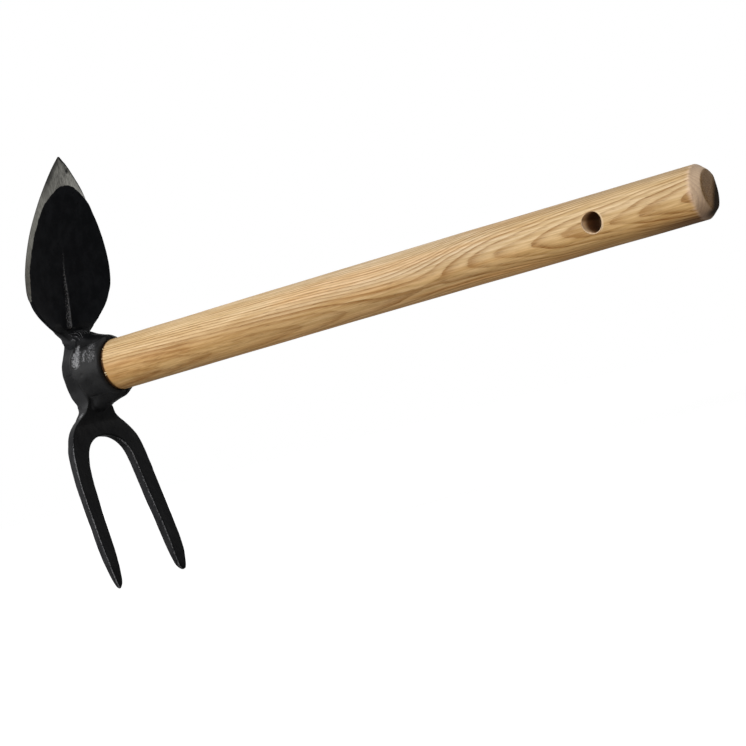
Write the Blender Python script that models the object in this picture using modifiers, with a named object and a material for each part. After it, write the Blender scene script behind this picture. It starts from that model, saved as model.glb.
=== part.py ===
"""Heart-shaped hand hoe: a heart blade and a two-tine fork on one eye, with an ash handle.

The handle's axis is X, and the origin is the centre of its end face, so the tool lies at -X.
Z runs from the tine tips up to the tip of the heart, and Y runs across the blade.
"""
import math

import bpy
import bmesh
from mathutils import Vector
from mathutils.geometry import interpolate_bezier

# Clearances, facets and how far cutters reach past what they cut
GAP = 0.0003
TURN_STEPS = 64
CURVE_STEPS = 6
CUT_MARGIN = 0.005
SEAT_CUT = 0.060

# Handle: one ash stick
HANDLE_LENGTH = 0.400
HANDLE_EYE_RADIUS = 0.0145
HANDLE_END_RADIUS = 0.0138
HANDLE_BEHIND_EYE = 0.0005
TENON_STEP = 0.0006
TENON_CHAMFER = 0.0008
MOUTH_ROUNDING = 0.0012
MOUTH_ROUNDING_ANGLE = -60
END_CHAMFER_LENGTH = 0.0045
END_CHAMFER_DEPTH = 0.0038
HANG_HOLE_RADIUS = 0.0054
HANG_HOLE_FROM_END = 0.059

# Steel wedge in the head end of the stick
WEDGE_LENGTH = 0.020
WEDGE_WIDTH = 0.019
WEDGE_THICKNESS = 0.0036
WEDGE_TIP_THICKNESS = 0.0008
WEDGE_STAND = 0.0005

# Eye: collar in front, bar behind it
EYE_DEPTH = 0.0288
COLLAR_WALL = 0.0030
COLLAR_RIM_ROUNDING = 0.0016
CHEEK_WALL = 0.0020
CHEEK_EASE = 0.0075
BAR_THICKNESS = 0.0120
BAR_END_THICKNESS = 0.0084
BAR_FRONT_EASE = 0.0060
BAR_UPPER_RISE = 0.0038
BAR_LOWER_DROP = 0.0023
BAR_UPPER_HALF_WIDTH = 0.0082
BAR_LOWER_HALF_WIDTH = 0.0096
BAR_END_EASE = 0.0080
BAR_EDGE = 0.0014

# Heart blade, measured along its own lean from its seat
BLADE_LEAN = math.radians(12.3)
BLADE_SETBACK = 0.0288
BLADE_THICKNESS = 0.0026
BLADE_EDGE_THICKNESS = 0.0006
BLADE_HEIGHT = 0.0998
BLADE_HALF_WIDTH = 0.0387
BLADE_WIDEST_HEIGHT = 0.0340
BLADE_SIDE_EASE = 0.0130
BLADE_NECK_HALF_WIDTH = 0.0112
BLADE_NECK_EASE = 0.0022
BLADE_NECK_HEADING = 63
BLADE_LOBE_HALF_WIDTH = 0.0240
BLADE_LOBE_HEIGHT = 0.0078
BLADE_LOBE_EASE = 0.0077
BLADE_LOBE_HEADING = 29
BLADE_TIP_HALF_WIDTH = 0.0008
BLADE_TIP_EASE = 0.0426
BLADE_TIP_HEADING = 133.3
BLADE_DISH = 0.0032
BEVEL_WIDTH = 0.0048
RIB_LENGTH = 0.044
RIB_HALF_WIDTH = 0.0036
RIB_HEIGHT = 0.0018
RIB_ABOVE_WELD = 0.0016

# Fork, measured along its own lean from its seat
FORK_LEAN = math.radians(-7.6)
FORK_SETBACK = 0.0267
FORK_THICKNESS = 0.0052
FORK_NECK_THICKNESS = 0.0080
FORK_LENGTH = 0.1005
FORK_NECK_HALF_WIDTH = 0.0098
FORK_NECK_EASE = 0.0082
FORK_NECK_HEADING = -35
FORK_SHOULDER_DROP = 0.0280
FORK_SHOULDER_HALF_WIDTH = 0.0324
FORK_SHOULDER_EASE = 0.0150
FORK_HALF_WIDTH = 0.0352
FORK_EDGE = 0.0008
TINE_WIDTH = 0.0096
TINE_POINT_LENGTH = 0.0190
TINE_POINT_EASE = 0.0085
TINE_POINT_WIDTH = 0.0010
TINE_POINT_INSET = 0.0044
TINE_POINT_THICKNESS = 0.0014
TINE_POINT_HEADING = 120
TINE_TIP_EASE = 0.0050
TINE_INNER_HEADING = 93
ARCH_DROP = 0.0143
ARCH_HEIGHT = 0.0200
ARCH_HALF_WIDTH = 0.0222
ARCH_SIDE_HEADING = 98.5
ARCH_SIDE_EASE = 0.0094
ARCH_TOP_EASE = 0.0110

# Weld beads
WELD_HEIGHT = 0.0018
WELD_STAND = 0.0004
WELD_EDGE = 0.0005
FILLET_REACH = 0.0105
FILLET_HEIGHT = 0.0036
FILLET_EASE = 0.0040
FILLET_FOOT_HEADING = 25

# Worked out from the sizes above, in a frame whose zero is the centre of the eye's mouth
MOUTH_X = -(HANDLE_LENGTH - EYE_DEPTH - HANDLE_BEHIND_EYE)
FREE_END_X = -MOUTH_X
EYE_BACK_X = -EYE_DEPTH
HEAD_END_X = EYE_BACK_X - HANDLE_BEHIND_EYE
TENON_RADIUS = HANDLE_EYE_RADIUS - TENON_STEP
BORE_RADIUS = TENON_RADIUS + GAP
COLLAR_RADIUS = BORE_RADIUS + COLLAR_WALL
CHEEK_HALF_WIDTH = BORE_RADIUS + CHEEK_WALL
BAR_FRONT_X = EYE_BACK_X + BAR_THICKNESS
BAR_END_FRONT_X = EYE_BACK_X + BAR_END_THICKNESS
BAR_TOP_Z = COLLAR_RADIUS + BAR_UPPER_RISE
BAR_BOTTOM_Z = -(COLLAR_RADIUS + BAR_LOWER_DROP)
BLADE_SEAT_Z = BAR_TOP_Z + WELD_HEIGHT + 2 * GAP
BLADE_SEAT_X = BLADE_SEAT_Z * math.tan(BLADE_LEAN) - BLADE_SETBACK
FORK_SEAT_Z = BAR_BOTTOM_Z - WELD_HEIGHT - 2 * GAP
FORK_SEAT_X = FORK_SEAT_Z * math.tan(FORK_LEAN) - FORK_SETBACK
RIB_START = FILLET_HEIGHT + RIB_ABOVE_WELD


def clear_scene():
    """Remove every object, so that the script starts from an empty scene."""
    for obj in list(bpy.data.objects):
        bpy.data.objects.remove(obj, do_unlink=True)


def make_collection(name):
    """Return a new collection linked to the scene."""
    collection = bpy.data.collections.new(name)
    bpy.context.scene.collection.children.link(collection)
    return collection


def make_material(name, color, roughness, metallic):
    """Return a Principled material with the given colour, roughness and metallic value."""
    material = bpy.data.materials.new(name)
    material.use_nodes = True
    shader = material.node_tree.nodes["Principled BSDF"]
    shader.inputs["Base Color"].default_value = (*color, 1.0)
    shader.inputs["Roughness"].default_value = roughness
    shader.inputs["Metallic"].default_value = metallic
    return material


def make_empty(name, parent, location, lean=0.0):
    """Return an empty that carries other objects; lean turns it about Y."""
    empty = bpy.data.objects.new(name, None)
    bpy.context.scene.collection.objects.link(empty)
    empty.parent = parent
    empty.location = location
    empty.rotation_euler = (0.0, lean, 0.0)
    return empty


def make_object(name, mesh, collection, parent, material=None):
    """Return an object for a mesh, smooth except at its sharp edges."""
    obj = bpy.data.objects.new(name, mesh)
    collection.objects.link(obj)
    obj.parent = parent
    if material:
        mesh.materials.append(material)
    mesh.shade_smooth()
    mesh.set_sharp_from_angle(angle=math.radians(35))
    return obj


def make_cutter(obj):
    """Mark an object as a cutter, which is drawn as wires and not rendered."""
    obj.hide_render = True
    obj.display_type = "WIRE"
    return obj


def add_boolean(obj, operation, cutter):
    """Cut, join or intersect an object with a cutter."""
    modifier = obj.modifiers.new(cutter.name, "BOOLEAN")
    modifier.operation = operation
    modifier.object = cutter
    modifier.solver = "EXACT"


def add_bevel(obj, width):
    """Round an object's sharp edges."""
    modifier = obj.modifiers.new("edges", "BEVEL")
    modifier.width = width
    modifier.segments = 2
    modifier.limit_method = "ANGLE"
    modifier.angle_limit = math.radians(50)


def turned_mesh(name, profile):
    """Return the mesh of (radius, x) points to be turned; they run from the front centre to the back."""
    mesh = bpy.data.meshes.new(name)
    points = [(radius, 0.0, x) for radius, x in profile]
    edges = [(i, i + 1) for i in range(len(points) - 1)]
    mesh.from_pydata(points, edges, [])
    return mesh


def add_turning(obj):
    """Turn a profile into a round solid whose axis lies along X."""
    modifier = obj.modifiers.new("turning", "SCREW")
    modifier.angle = 2 * math.pi
    modifier.steps = TURN_STEPS
    modifier.render_steps = TURN_STEPS
    modifier.use_merge_vertices = True
    modifier.merge_threshold = 0.00001
    modifier.use_smooth_shade = True
    obj.rotation_euler = (0.0, math.pi / 2, 0.0)


def cylinder_mesh(name, radius, length):
    """Return a closed cylinder along Z."""
    mesh = bpy.data.meshes.new(name)
    bm = bmesh.new()
    bmesh.ops.create_cone(
        bm,
        cap_ends=True,
        segments=TURN_STEPS,
        radius1=radius,
        radius2=radius,
        depth=length,
    )
    bm.to_mesh(mesh)
    bm.free()
    return mesh


def cube_mesh(name, size):
    """Return a closed cube about its centre."""
    mesh = bpy.data.meshes.new(name)
    bm = bmesh.new()
    bmesh.ops.create_cube(bm, size=size)
    bm.to_mesh(mesh)
    bm.free()
    return mesh


def knot(u, v, heading=0.0, before=0.0, after=0.0):
    """Outline point: the curve heads this way in degrees, with a handle's length before and after it."""
    point = Vector((u, v, 0.0))
    direction = Vector((math.cos(math.radians(heading)), math.sin(math.radians(heading)), 0.0))
    return point - before * direction, point, point + after * direction


def outline_points(knots):
    """Return points along the curve through the knots; a stretch without handles is straight."""
    points = []
    for (_, start, out), (into, end, _) in zip(knots, knots[1:]):
        straight = out == start and into == end
        steps = 1 if straight else CURVE_STEPS
        points += [tuple(p.xy) for p in interpolate_bezier(start, out, into, end, steps + 1)[:-1]]
    points.append(tuple(knots[-1][1].xy))
    return points


def mirrored(half):
    """Return a closed outline from its half at positive u; points on the mirror line come once."""
    return half + [(-u, v) for u, v in reversed(half) if u > 0]


def arc(center, radius, start, end):
    """Return points on an arc, with its angles in degrees."""
    angles = [math.radians(start + (end - start) * i / CURVE_STEPS) for i in range(CURVE_STEPS + 1)]
    return [(center[0] + radius * math.cos(a), center[1] + radius * math.sin(a)) for a in angles]


def outline_object(name, points, depth, plane, collection, parent, material=None):
    """Return a flat outline as a solid of the given depth, in plane YZ, XZ or XY of its parent."""
    curve = bpy.data.curves.new(name, "CURVE")
    curve.dimensions = "2D"
    curve.fill_mode = "BOTH"
    curve.extrude = depth / 2
    spline = curve.splines.new("POLY")
    spline.points.add(len(points) - 1)
    for point, (u, v) in zip(spline.points, points):
        point.co = (u, v, 0.0, 1.0)
    spline.use_cyclic_u = True
    source = bpy.data.objects.new(name + "_curve", curve)
    bpy.context.scene.collection.objects.link(source)
    turns = {
        "YZ": (math.pi / 2, 0.0, math.pi / 2),
        "XZ": (math.pi / 2, 0.0, 0.0),
        "XY": (0.0, 0.0, 0.0),
    }
    source.rotation_euler = turns[plane]
    bpy.context.view_layer.update()
    evaluated = source.evaluated_get(bpy.context.evaluated_depsgraph_get())
    mesh = bpy.data.meshes.new_from_object(evaluated)
    mesh.name = name
    bm = bmesh.new()
    bm.from_mesh(mesh)
    bmesh.ops.remove_doubles(bm, verts=bm.verts, dist=0.000001)
    bm.to_mesh(mesh)
    bm.free()
    mesh.materials.clear()
    obj = make_object(name, mesh, collection, parent, material)
    obj.matrix_local = source.matrix_world
    bpy.data.objects.remove(source, do_unlink=True)
    return obj


def build_handle(parts, cutters, frame):
    """Ash stick: tenon in the eye, slow taper, chamfered end, hanging hole and the wedge's slot."""
    mouth_center = (HANDLE_EYE_RADIUS - MOUTH_ROUNDING, GAP + MOUTH_ROUNDING)
    profile = [
        (0.0, FREE_END_X),
        (HANDLE_END_RADIUS - END_CHAMFER_DEPTH, FREE_END_X),
        (HANDLE_END_RADIUS, FREE_END_X - END_CHAMFER_LENGTH),
        *arc(mouth_center, MOUTH_ROUNDING, 0, MOUTH_ROUNDING_ANGLE),
        (TENON_RADIUS, GAP),
        (TENON_RADIUS, HEAD_END_X + TENON_CHAMFER),
        (TENON_RADIUS - TENON_CHAMFER, HEAD_END_X),
        (0.0, HEAD_END_X),
    ]
    material = make_material("handle", (0.79, 0.62, 0.41), 0.55, 0.0)
    handle = make_object("handle", turned_mesh("handle", profile), parts, frame, material)
    add_turning(handle)

    hole_mesh = cylinder_mesh("hang_hole", HANG_HOLE_RADIUS, 2 * HANDLE_EYE_RADIUS + CUT_MARGIN)
    hole = make_object("hang_hole", hole_mesh, cutters, frame)
    hole.location = (FREE_END_X - HANG_HOLE_FROM_END, 0.0, 0.0)
    hole.rotation_euler = (math.pi / 2, 0.0, 0.0)
    add_boolean(handle, "DIFFERENCE", make_cutter(hole))

    slot_outline = wedge_outline(GAP, CUT_MARGIN)
    slot = outline_object("wedge_slot", slot_outline, WEDGE_WIDTH + 2 * GAP, "XY", cutters, frame)
    add_boolean(handle, "DIFFERENCE", make_cutter(slot))


def wedge_outline(clearance, behind):
    """Wedge seen from above; clearance widens it, and behind carries it out past its back."""
    back = WEDGE_THICKNESS / 2
    tip = WEDGE_TIP_THICKNESS / 2 + clearance
    slope = (back + clearance - tip) / WEDGE_LENGTH
    back_x = HEAD_END_X - WEDGE_STAND
    tip_x = back_x + WEDGE_LENGTH
    far = back + clearance + slope * behind
    return [
        (back_x - behind, -far),
        (tip_x + clearance, -tip),
        (tip_x + clearance, tip),
        (back_x - behind, far),
    ]


def build_wedge(parts, frame):
    """Steel wedge driven into the head end of the stick."""
    material = make_material("eye_wedge", (0.30, 0.30, 0.30), 0.45, 1.0)
    outline_object("eye_wedge", wedge_outline(0.0, 0.0), WEDGE_WIDTH, "XY", parts, frame, material)


def bar_side(clearance, top_z, bottom_z):
    """Side view of the bar behind the collar, which is thickest at the bore."""
    end_x = BAR_END_FRONT_X + clearance
    front_x = BAR_FRONT_X + clearance
    behind_x = EYE_BACK_X - CUT_MARGIN
    front = outline_points([
        knot(end_x, BAR_BOTTOM_Z, 60, 0, BAR_FRONT_EASE),
        knot(front_x, 0.0, 90, BAR_FRONT_EASE, BAR_FRONT_EASE),
        knot(end_x, BAR_TOP_Z, 100, BAR_FRONT_EASE, 0),
    ])
    return [(behind_x, top_z), (behind_x, bottom_z), (end_x, bottom_z), *front, (end_x, top_z)]


def build_eye(parts, cutters, frame):
    """Round collar on the front of a bar that swells round the bore."""
    half = outline_points([
        knot(BAR_LOWER_HALF_WIDTH, BAR_BOTTOM_Z, 90, 0, BAR_END_EASE),
        knot(CHEEK_HALF_WIDTH, 0.0, 90, CHEEK_EASE, CHEEK_EASE),
        knot(BAR_UPPER_HALF_WIDTH, BAR_TOP_Z, 90, BAR_END_EASE, 0),
    ])
    material = make_material("eye_socket", (0.012, 0.013, 0.014), 0.42, 0.0)
    bar_depth = BAR_THICKNESS + CUT_MARGIN
    eye = outline_object("eye_socket", mirrored(half), bar_depth, "YZ", parts, frame, material)
    eye.location.x = EYE_BACK_X + bar_depth / 2
    add_bevel(eye, BAR_EDGE)

    side = bar_side(0.0, BAR_TOP_Z + CUT_MARGIN, BAR_BOTTOM_Z - CUT_MARGIN)
    side_cutter = outline_object("eye_side", side, 3 * CHEEK_HALF_WIDTH, "XZ", cutters, frame)
    add_boolean(eye, "INTERSECT", make_cutter(side_cutter))

    rim_center = (COLLAR_RADIUS - COLLAR_RIM_ROUNDING, -COLLAR_RIM_ROUNDING)
    profile = [
        (0.0, 0.0),
        *arc(rim_center, COLLAR_RIM_ROUNDING, 90, 0),
        (COLLAR_RADIUS, BAR_FRONT_X),
        (CHEEK_HALF_WIDTH - GAP, BAR_END_FRONT_X),
        (0.0, BAR_END_FRONT_X),
    ]
    collar = make_object("eye_collar", turned_mesh("eye_collar", profile), cutters, frame)
    add_turning(collar)
    add_boolean(eye, "UNION", make_cutter(collar))

    bore_mesh = cylinder_mesh("eye_bore", BORE_RADIUS, EYE_DEPTH + 2 * CUT_MARGIN)
    bore = make_object("eye_bore", bore_mesh, cutters, frame)
    bore.location = (EYE_BACK_X / 2, 0.0, 0.0)
    bore.rotation_euler = (0.0, math.pi / 2, 0.0)
    add_boolean(eye, "DIFFERENCE", make_cutter(bore))


def blade_stations():
    """Return (height, half width) pairs from the seat to the tip, with one at each end of the rib."""
    outline = outline_points([
        knot(BLADE_NECK_HALF_WIDTH, 0.0, BLADE_NECK_HEADING, 0, BLADE_NECK_EASE),
        knot(BLADE_LOBE_HALF_WIDTH, BLADE_LOBE_HEIGHT, BLADE_LOBE_HEADING, BLADE_LOBE_EASE, BLADE_LOBE_EASE),
        knot(BLADE_HALF_WIDTH, BLADE_WIDEST_HEIGHT, 90, BLADE_SIDE_EASE, BLADE_SIDE_EASE),
        knot(BLADE_TIP_HALF_WIDTH, BLADE_HEIGHT, BLADE_TIP_HEADING, BLADE_TIP_EASE, 0),
    ])
    stations = [(height, width) for width, height in outline]
    for rib_end in (RIB_START, RIB_START + GAP, RIB_START + RIB_LENGTH):
        for (low, low_width), (high, high_width) in zip(stations, stations[1:]):
            if low < rib_end < high:
                share = (rib_end - low) / (high - low)
                stations.append((rib_end, low_width + share * (high_width - low_width)))
                break
        stations.sort()
    return stations


def rib_height(height):
    """Height of the rib above the blade, full at its lower end and nothing at its upper end."""
    share = (height - RIB_START) / RIB_LENGTH
    return RIB_HEIGHT * (1 - share) if 0 < share < 1 else 0.0


def blade_ring(height, half_width):
    """Closed section of the blade: front points from left to right, then back points."""
    to_tip = (BLADE_HEIGHT - height) / (BLADE_HEIGHT - BLADE_WIDEST_HEIGHT)
    dish = BLADE_DISH * min(1.0, to_tip)
    bevel = min(BEVEL_WIDTH, half_width / 2)
    rib_half = min(RIB_HALF_WIDTH, (half_width - bevel) * 0.8)
    flank = (half_width - bevel + rib_half) / 2
    columns = [half_width - bevel, flank, rib_half, rib_half / 2]
    ys = [-half_width, *[-y for y in columns], 0.0, *reversed(columns), half_width]
    half_thickness = BLADE_THICKNESS / 2
    front = []
    back = []
    for y in ys:
        middle = -dish * (1 - (y / half_width) ** 2)
        rise = rib_height(height) * max(0.0, 1 - (y / rib_half) ** 2)
        back.append((middle - half_thickness, y, height))
        front.append((middle + half_thickness + rise, y, height))
    ground = BLADE_EDGE_THICKNESS - half_thickness
    front[0] = (ground, -half_width, height)
    front[-1] = (ground, half_width, height)
    return front + list(reversed(back))


def build_blade(parts, cutters, frame):
    """Dished heart plate with a ground edge and a short rib, lofted from its seat to its tip."""
    lean = make_empty("blade_lean", frame, (BLADE_SEAT_X, 0.0, BLADE_SEAT_Z), BLADE_LEAN)
    bm = bmesh.new()
    below = [(x, y, -CUT_MARGIN) for x, y, _ in blade_ring(0.0, BLADE_NECK_HALF_WIDTH)]
    sections = [below] + [blade_ring(*station) for station in blade_stations()]
    rings = [[bm.verts.new(point) for point in section] for section in sections]
    count = len(below)
    for lower, upper in zip(rings, rings[1:]):
        for i in range(count):
            j = (i + 1) % count
            bm.faces.new((lower[i], lower[j], upper[j], upper[i]))
    bm.faces.new(rings[0])
    bm.faces.new(rings[-1])
    bmesh.ops.recalc_face_normals(bm, faces=bm.faces)
    mesh = bpy.data.meshes.new("heart_blade")
    bm.to_mesh(mesh)
    bm.free()
    material = make_material("heart_blade", (0.010, 0.011, 0.012), 0.40, 0.0)
    blade = make_object("heart_blade", mesh, parts, lean, material)
    seat = make_object("blade_seat", cube_mesh("blade_seat", SEAT_CUT), cutters, frame)
    seat.location = (BLADE_SEAT_X, 0.0, BLADE_SEAT_Z - SEAT_CUT / 2)
    add_boolean(blade, "DIFFERENCE", make_cutter(seat))


def fork_outline():
    """Half outline of the fork: seat, outer side, point, inner side and arch."""
    point_top = TINE_POINT_LENGTH - FORK_LENGTH
    point_y = FORK_HALF_WIDTH - TINE_POINT_INSET
    outer_tip_y = point_y + TINE_POINT_WIDTH / 2
    inner_tip_y = point_y - TINE_POINT_WIDTH / 2
    inner_y = FORK_HALF_WIDTH - TINE_WIDTH
    arch_side_z = -(ARCH_DROP + ARCH_HEIGHT)
    return outline_points([
        knot(FORK_NECK_HALF_WIDTH, CUT_MARGIN),
        knot(FORK_NECK_HALF_WIDTH, 0.0, FORK_NECK_HEADING, 0, FORK_NECK_EASE),
        knot(FORK_SHOULDER_HALF_WIDTH, -FORK_SHOULDER_DROP, -90, FORK_SHOULDER_EASE, FORK_SHOULDER_EASE),
        knot(FORK_HALF_WIDTH, point_top, -90, FORK_SHOULDER_EASE, TINE_POINT_EASE),
        knot(outer_tip_y, -FORK_LENGTH, -TINE_POINT_HEADING, TINE_TIP_EASE, 0),
        knot(inner_tip_y, -FORK_LENGTH, TINE_POINT_HEADING, 0, TINE_TIP_EASE),
        knot(inner_y, point_top, TINE_INNER_HEADING, TINE_POINT_EASE, FORK_SHOULDER_EASE),
        knot(ARCH_HALF_WIDTH, arch_side_z, ARCH_SIDE_HEADING, ARCH_SIDE_EASE, ARCH_SIDE_EASE),
        knot(0.0, -ARCH_DROP, 180, ARCH_TOP_EASE, 0),
    ])


def fork_side():
    """Side view of the fork: thick at the neck, even along the tines and thin at their points."""
    middle = -FORK_THICKNESS / 2
    half_point = TINE_POINT_THICKNESS / 2
    neck_front = FORK_NECK_THICKNESS - FORK_THICKNESS
    above_z = 2 * CUT_MARGIN
    below_z = -FORK_LENGTH - GAP
    point_top = TINE_POINT_LENGTH - FORK_LENGTH
    neck_ease = ARCH_DROP / 2
    front = outline_points([
        knot(0.0, -ARCH_DROP, 90, 0, neck_ease),
        knot(neck_front, 0.0, 90, neck_ease, 0),
    ])
    return [
        (neck_front, above_z),
        (-FORK_THICKNESS, above_z),
        (-FORK_THICKNESS, point_top),
        (middle - half_point, below_z),
        (middle + half_point, below_z),
        (0.0, point_top),
        *front,
    ]


def build_fork(parts, cutters, frame):
    """Flat fork: neck, round shoulders and two pointed tines."""
    lean = make_empty("fork_lean", frame, (FORK_SEAT_X, 0.0, FORK_SEAT_Z), FORK_LEAN)
    material = make_material("fork", (0.012, 0.013, 0.014), 0.42, 0.0)
    depth = 2 * (FORK_NECK_THICKNESS + CUT_MARGIN)
    fork = outline_object("fork", mirrored(fork_outline()), depth, "YZ", parts, lean, material)
    side_cutter = outline_object("fork_side", fork_side(), 3 * FORK_HALF_WIDTH, "XZ", cutters, lean)
    add_boolean(fork, "INTERSECT", make_cutter(side_cutter))
    add_bevel(fork, FORK_EDGE)
    seat = make_object("fork_seat", cube_mesh("fork_seat", SEAT_CUT), cutters, frame)
    seat.location = (FORK_SEAT_X, 0.0, FORK_SEAT_Z + SEAT_CUT / 2)
    add_boolean(fork, "DIFFERENCE", make_cutter(seat))


def build_weld(name, side, half_width, bar_cut, parts, cutters, frame):
    """Bead of constant side view, cut back from the bar and from the collar that its fillet lies on."""
    material = make_material(name, (0.020, 0.021, 0.022), 0.45, 0.0)
    bead = outline_object(name, side, 2 * half_width, "XZ", parts, frame, material)
    bar_cutter = outline_object(name + "_bar_cut", bar_cut, 4 * half_width, "XZ", cutters, frame)
    add_boolean(bead, "DIFFERENCE", make_cutter(bar_cutter))
    collar_mesh = cylinder_mesh(name + "_collar_cut", COLLAR_RADIUS + GAP, 2 * EYE_DEPTH)
    collar_cutter = make_object(name + "_collar_cut", collar_mesh, cutters, frame)
    collar_cutter.rotation_euler = (0.0, math.pi / 2, 0.0)
    add_boolean(bead, "DIFFERENCE", make_cutter(collar_cutter))
    add_bevel(bead, WELD_EDGE)


def build_blade_weld(parts, cutters, frame):
    """Bead between the bar and the blade, with a fillet that runs down onto the collar."""
    bottom = BAR_TOP_Z + GAP
    top = bottom + WELD_HEIGHT
    half_width = BAR_UPPER_HALF_WIDTH
    dish = BLADE_DISH * (1 - (half_width / BLADE_NECK_HALF_WIDTH) ** 2)
    root_front = BLADE_SEAT_X - dish + BLADE_THICKNESS / 2 + GAP
    crown_x = root_front + FILLET_HEIGHT * math.tan(BLADE_LEAN) + GAP
    foot_x = BAR_END_FRONT_X + FILLET_REACH
    fillet = outline_points([
        knot(crown_x, top + FILLET_HEIGHT, -FILLET_FOOT_HEADING / 2, 0, FILLET_EASE),
        knot(foot_x, COLLAR_RADIUS + WELD_STAND, -FILLET_FOOT_HEADING, FILLET_EASE, 0),
    ])
    side = [(foot_x, 0.0), (EYE_BACK_X, 0.0), (EYE_BACK_X, top), (root_front, top), *fillet]
    bar_cut = bar_side(GAP, bottom, BAR_BOTTOM_Z)
    build_weld("blade_weld", side, half_width, bar_cut, parts, cutters, frame)


def build_fork_weld(parts, cutters, frame):
    """Bead between the bar and the fork's neck, with a fillet that runs up onto the collar."""
    top = BAR_BOTTOM_Z - GAP
    bottom = top - WELD_HEIGHT
    foot_x = BAR_END_FRONT_X + FILLET_REACH
    fillet = outline_points([
        knot(BAR_END_FRONT_X, bottom, 0, 0, FILLET_EASE),
        knot(foot_x, -(COLLAR_RADIUS + WELD_STAND), FILLET_FOOT_HEADING, FILLET_EASE, 0),
    ])
    side = [(foot_x, 0.0), (EYE_BACK_X, 0.0), (EYE_BACK_X, bottom), *fillet]
    bar_cut = bar_side(GAP, BAR_TOP_Z, top)
    build_weld("fork_weld", side, BAR_LOWER_HALF_WIDTH, bar_cut, parts, cutters, frame)


def main():
    """Build the whole tool."""
    clear_scene()
    parts = make_collection("heart_hoe")
    cutters = make_collection("heart_hoe_cutters")
    frame = make_empty("eye_mouth", None, (MOUTH_X, 0.0, 0.0))
    build_handle(parts, cutters, frame)
    build_wedge(parts, frame)
    build_eye(parts, cutters, frame)
    build_blade(parts, cutters, frame)
    build_blade_weld(parts, cutters, frame)
    build_fork(parts, cutters, frame)
    build_fork_weld(parts, cutters, frame)


main()
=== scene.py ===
"""Looks of the heart-shaped hand hoe: ash handle, black forged head, ground edge and studio stage.

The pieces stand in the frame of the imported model: the handle's axis is X, and its end face is at zero.
Head shapes are worked out in metres from the centre of the eye's mouth.
"""

import math

import bmesh
import bpy
import numpy as np
from bpy.props import FloatProperty, FloatVectorProperty, PointerProperty
from mathutils import Matrix, Vector


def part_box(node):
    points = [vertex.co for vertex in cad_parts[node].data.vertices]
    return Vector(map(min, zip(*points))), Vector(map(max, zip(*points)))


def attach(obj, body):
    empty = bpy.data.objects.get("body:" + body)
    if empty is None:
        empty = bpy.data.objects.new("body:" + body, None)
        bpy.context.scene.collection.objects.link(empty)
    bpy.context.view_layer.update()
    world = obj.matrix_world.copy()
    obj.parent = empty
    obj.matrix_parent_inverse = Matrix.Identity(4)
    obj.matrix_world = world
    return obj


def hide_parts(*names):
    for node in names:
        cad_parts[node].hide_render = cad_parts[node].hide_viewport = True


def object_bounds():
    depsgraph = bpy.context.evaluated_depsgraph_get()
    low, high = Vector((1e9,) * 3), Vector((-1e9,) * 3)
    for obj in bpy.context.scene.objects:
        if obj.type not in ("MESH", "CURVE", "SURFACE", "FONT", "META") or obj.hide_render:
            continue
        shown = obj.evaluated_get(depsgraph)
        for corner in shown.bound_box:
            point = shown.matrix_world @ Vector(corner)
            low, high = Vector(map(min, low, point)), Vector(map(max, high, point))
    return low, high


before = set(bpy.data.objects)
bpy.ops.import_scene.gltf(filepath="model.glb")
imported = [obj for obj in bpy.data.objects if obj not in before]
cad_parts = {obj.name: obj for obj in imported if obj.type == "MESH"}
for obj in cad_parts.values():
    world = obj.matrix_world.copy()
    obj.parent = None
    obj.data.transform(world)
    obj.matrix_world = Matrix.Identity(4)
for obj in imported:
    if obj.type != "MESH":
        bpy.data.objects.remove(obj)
CAD_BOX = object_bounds()

bl_info = {
    "name": "Heart hoe",
    "version": (1, 0, 0),
    "blender": (4, 5, 0),
    "location": "View3D > Sidebar > Heart hoe",
    "description": "Builds the looks of a heart-shaped hand hoe around its packed model",
    "category": "Add Mesh",
}

BODY = "root"
EYE_MOUTH_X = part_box("eye_socket")[1].x
# The tenon ends a little inside the solid's end, and the wedge moves along with it
TENON_SHORTER = 0.0009
HEAD_END_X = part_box("handle")[0].x + TENON_SHORTER


# ---- Sizes and colours ----

class HandleSizes(bpy.types.PropertyGroup):
    """Sizes of the ash handle."""

    eye_radius: FloatProperty(
        name="Radius at the eye", description="Radius where the stick enters the eye", default=0.0145, unit="LENGTH")
    end_radius: FloatProperty(
        name="Radius at the end", description="Radius just before the chamfer", default=0.01395, unit="LENGTH")
    tenon_radius: FloatProperty(
        name="Tenon radius", description="Radius inside the eye", default=0.0139, unit="LENGTH")
    bow: FloatProperty(
        name="Bow", description="How far the middle of the stick stands above its ends", default=0.0005, unit="LENGTH")
    rise: FloatProperty(
        name="Rise", description="How far the free end stands above the eye's axis", default=0.0002, unit="LENGTH")
    chamfer_length: FloatProperty(
        name="Chamfer length", description="Length of the sanded chamfer", default=0.0045, unit="LENGTH")
    chamfer_depth: FloatProperty(
        name="Chamfer depth", description="Depth of the sanded chamfer", default=0.0038, unit="LENGTH")
    hole_radius: FloatProperty(
        name="Hole radius", description="Radius of the hanging hole", default=0.0054, unit="LENGTH")
    hole_from_end: FloatProperty(
        name="Hole from the end", description="Distance of the hanging hole from the end face", default=0.059,
        unit="LENGTH")
    ring_spacing: FloatProperty(
        name="Growth rings", description="Distance between two growth rings", default=0.00135, unit="LENGTH")


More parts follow.
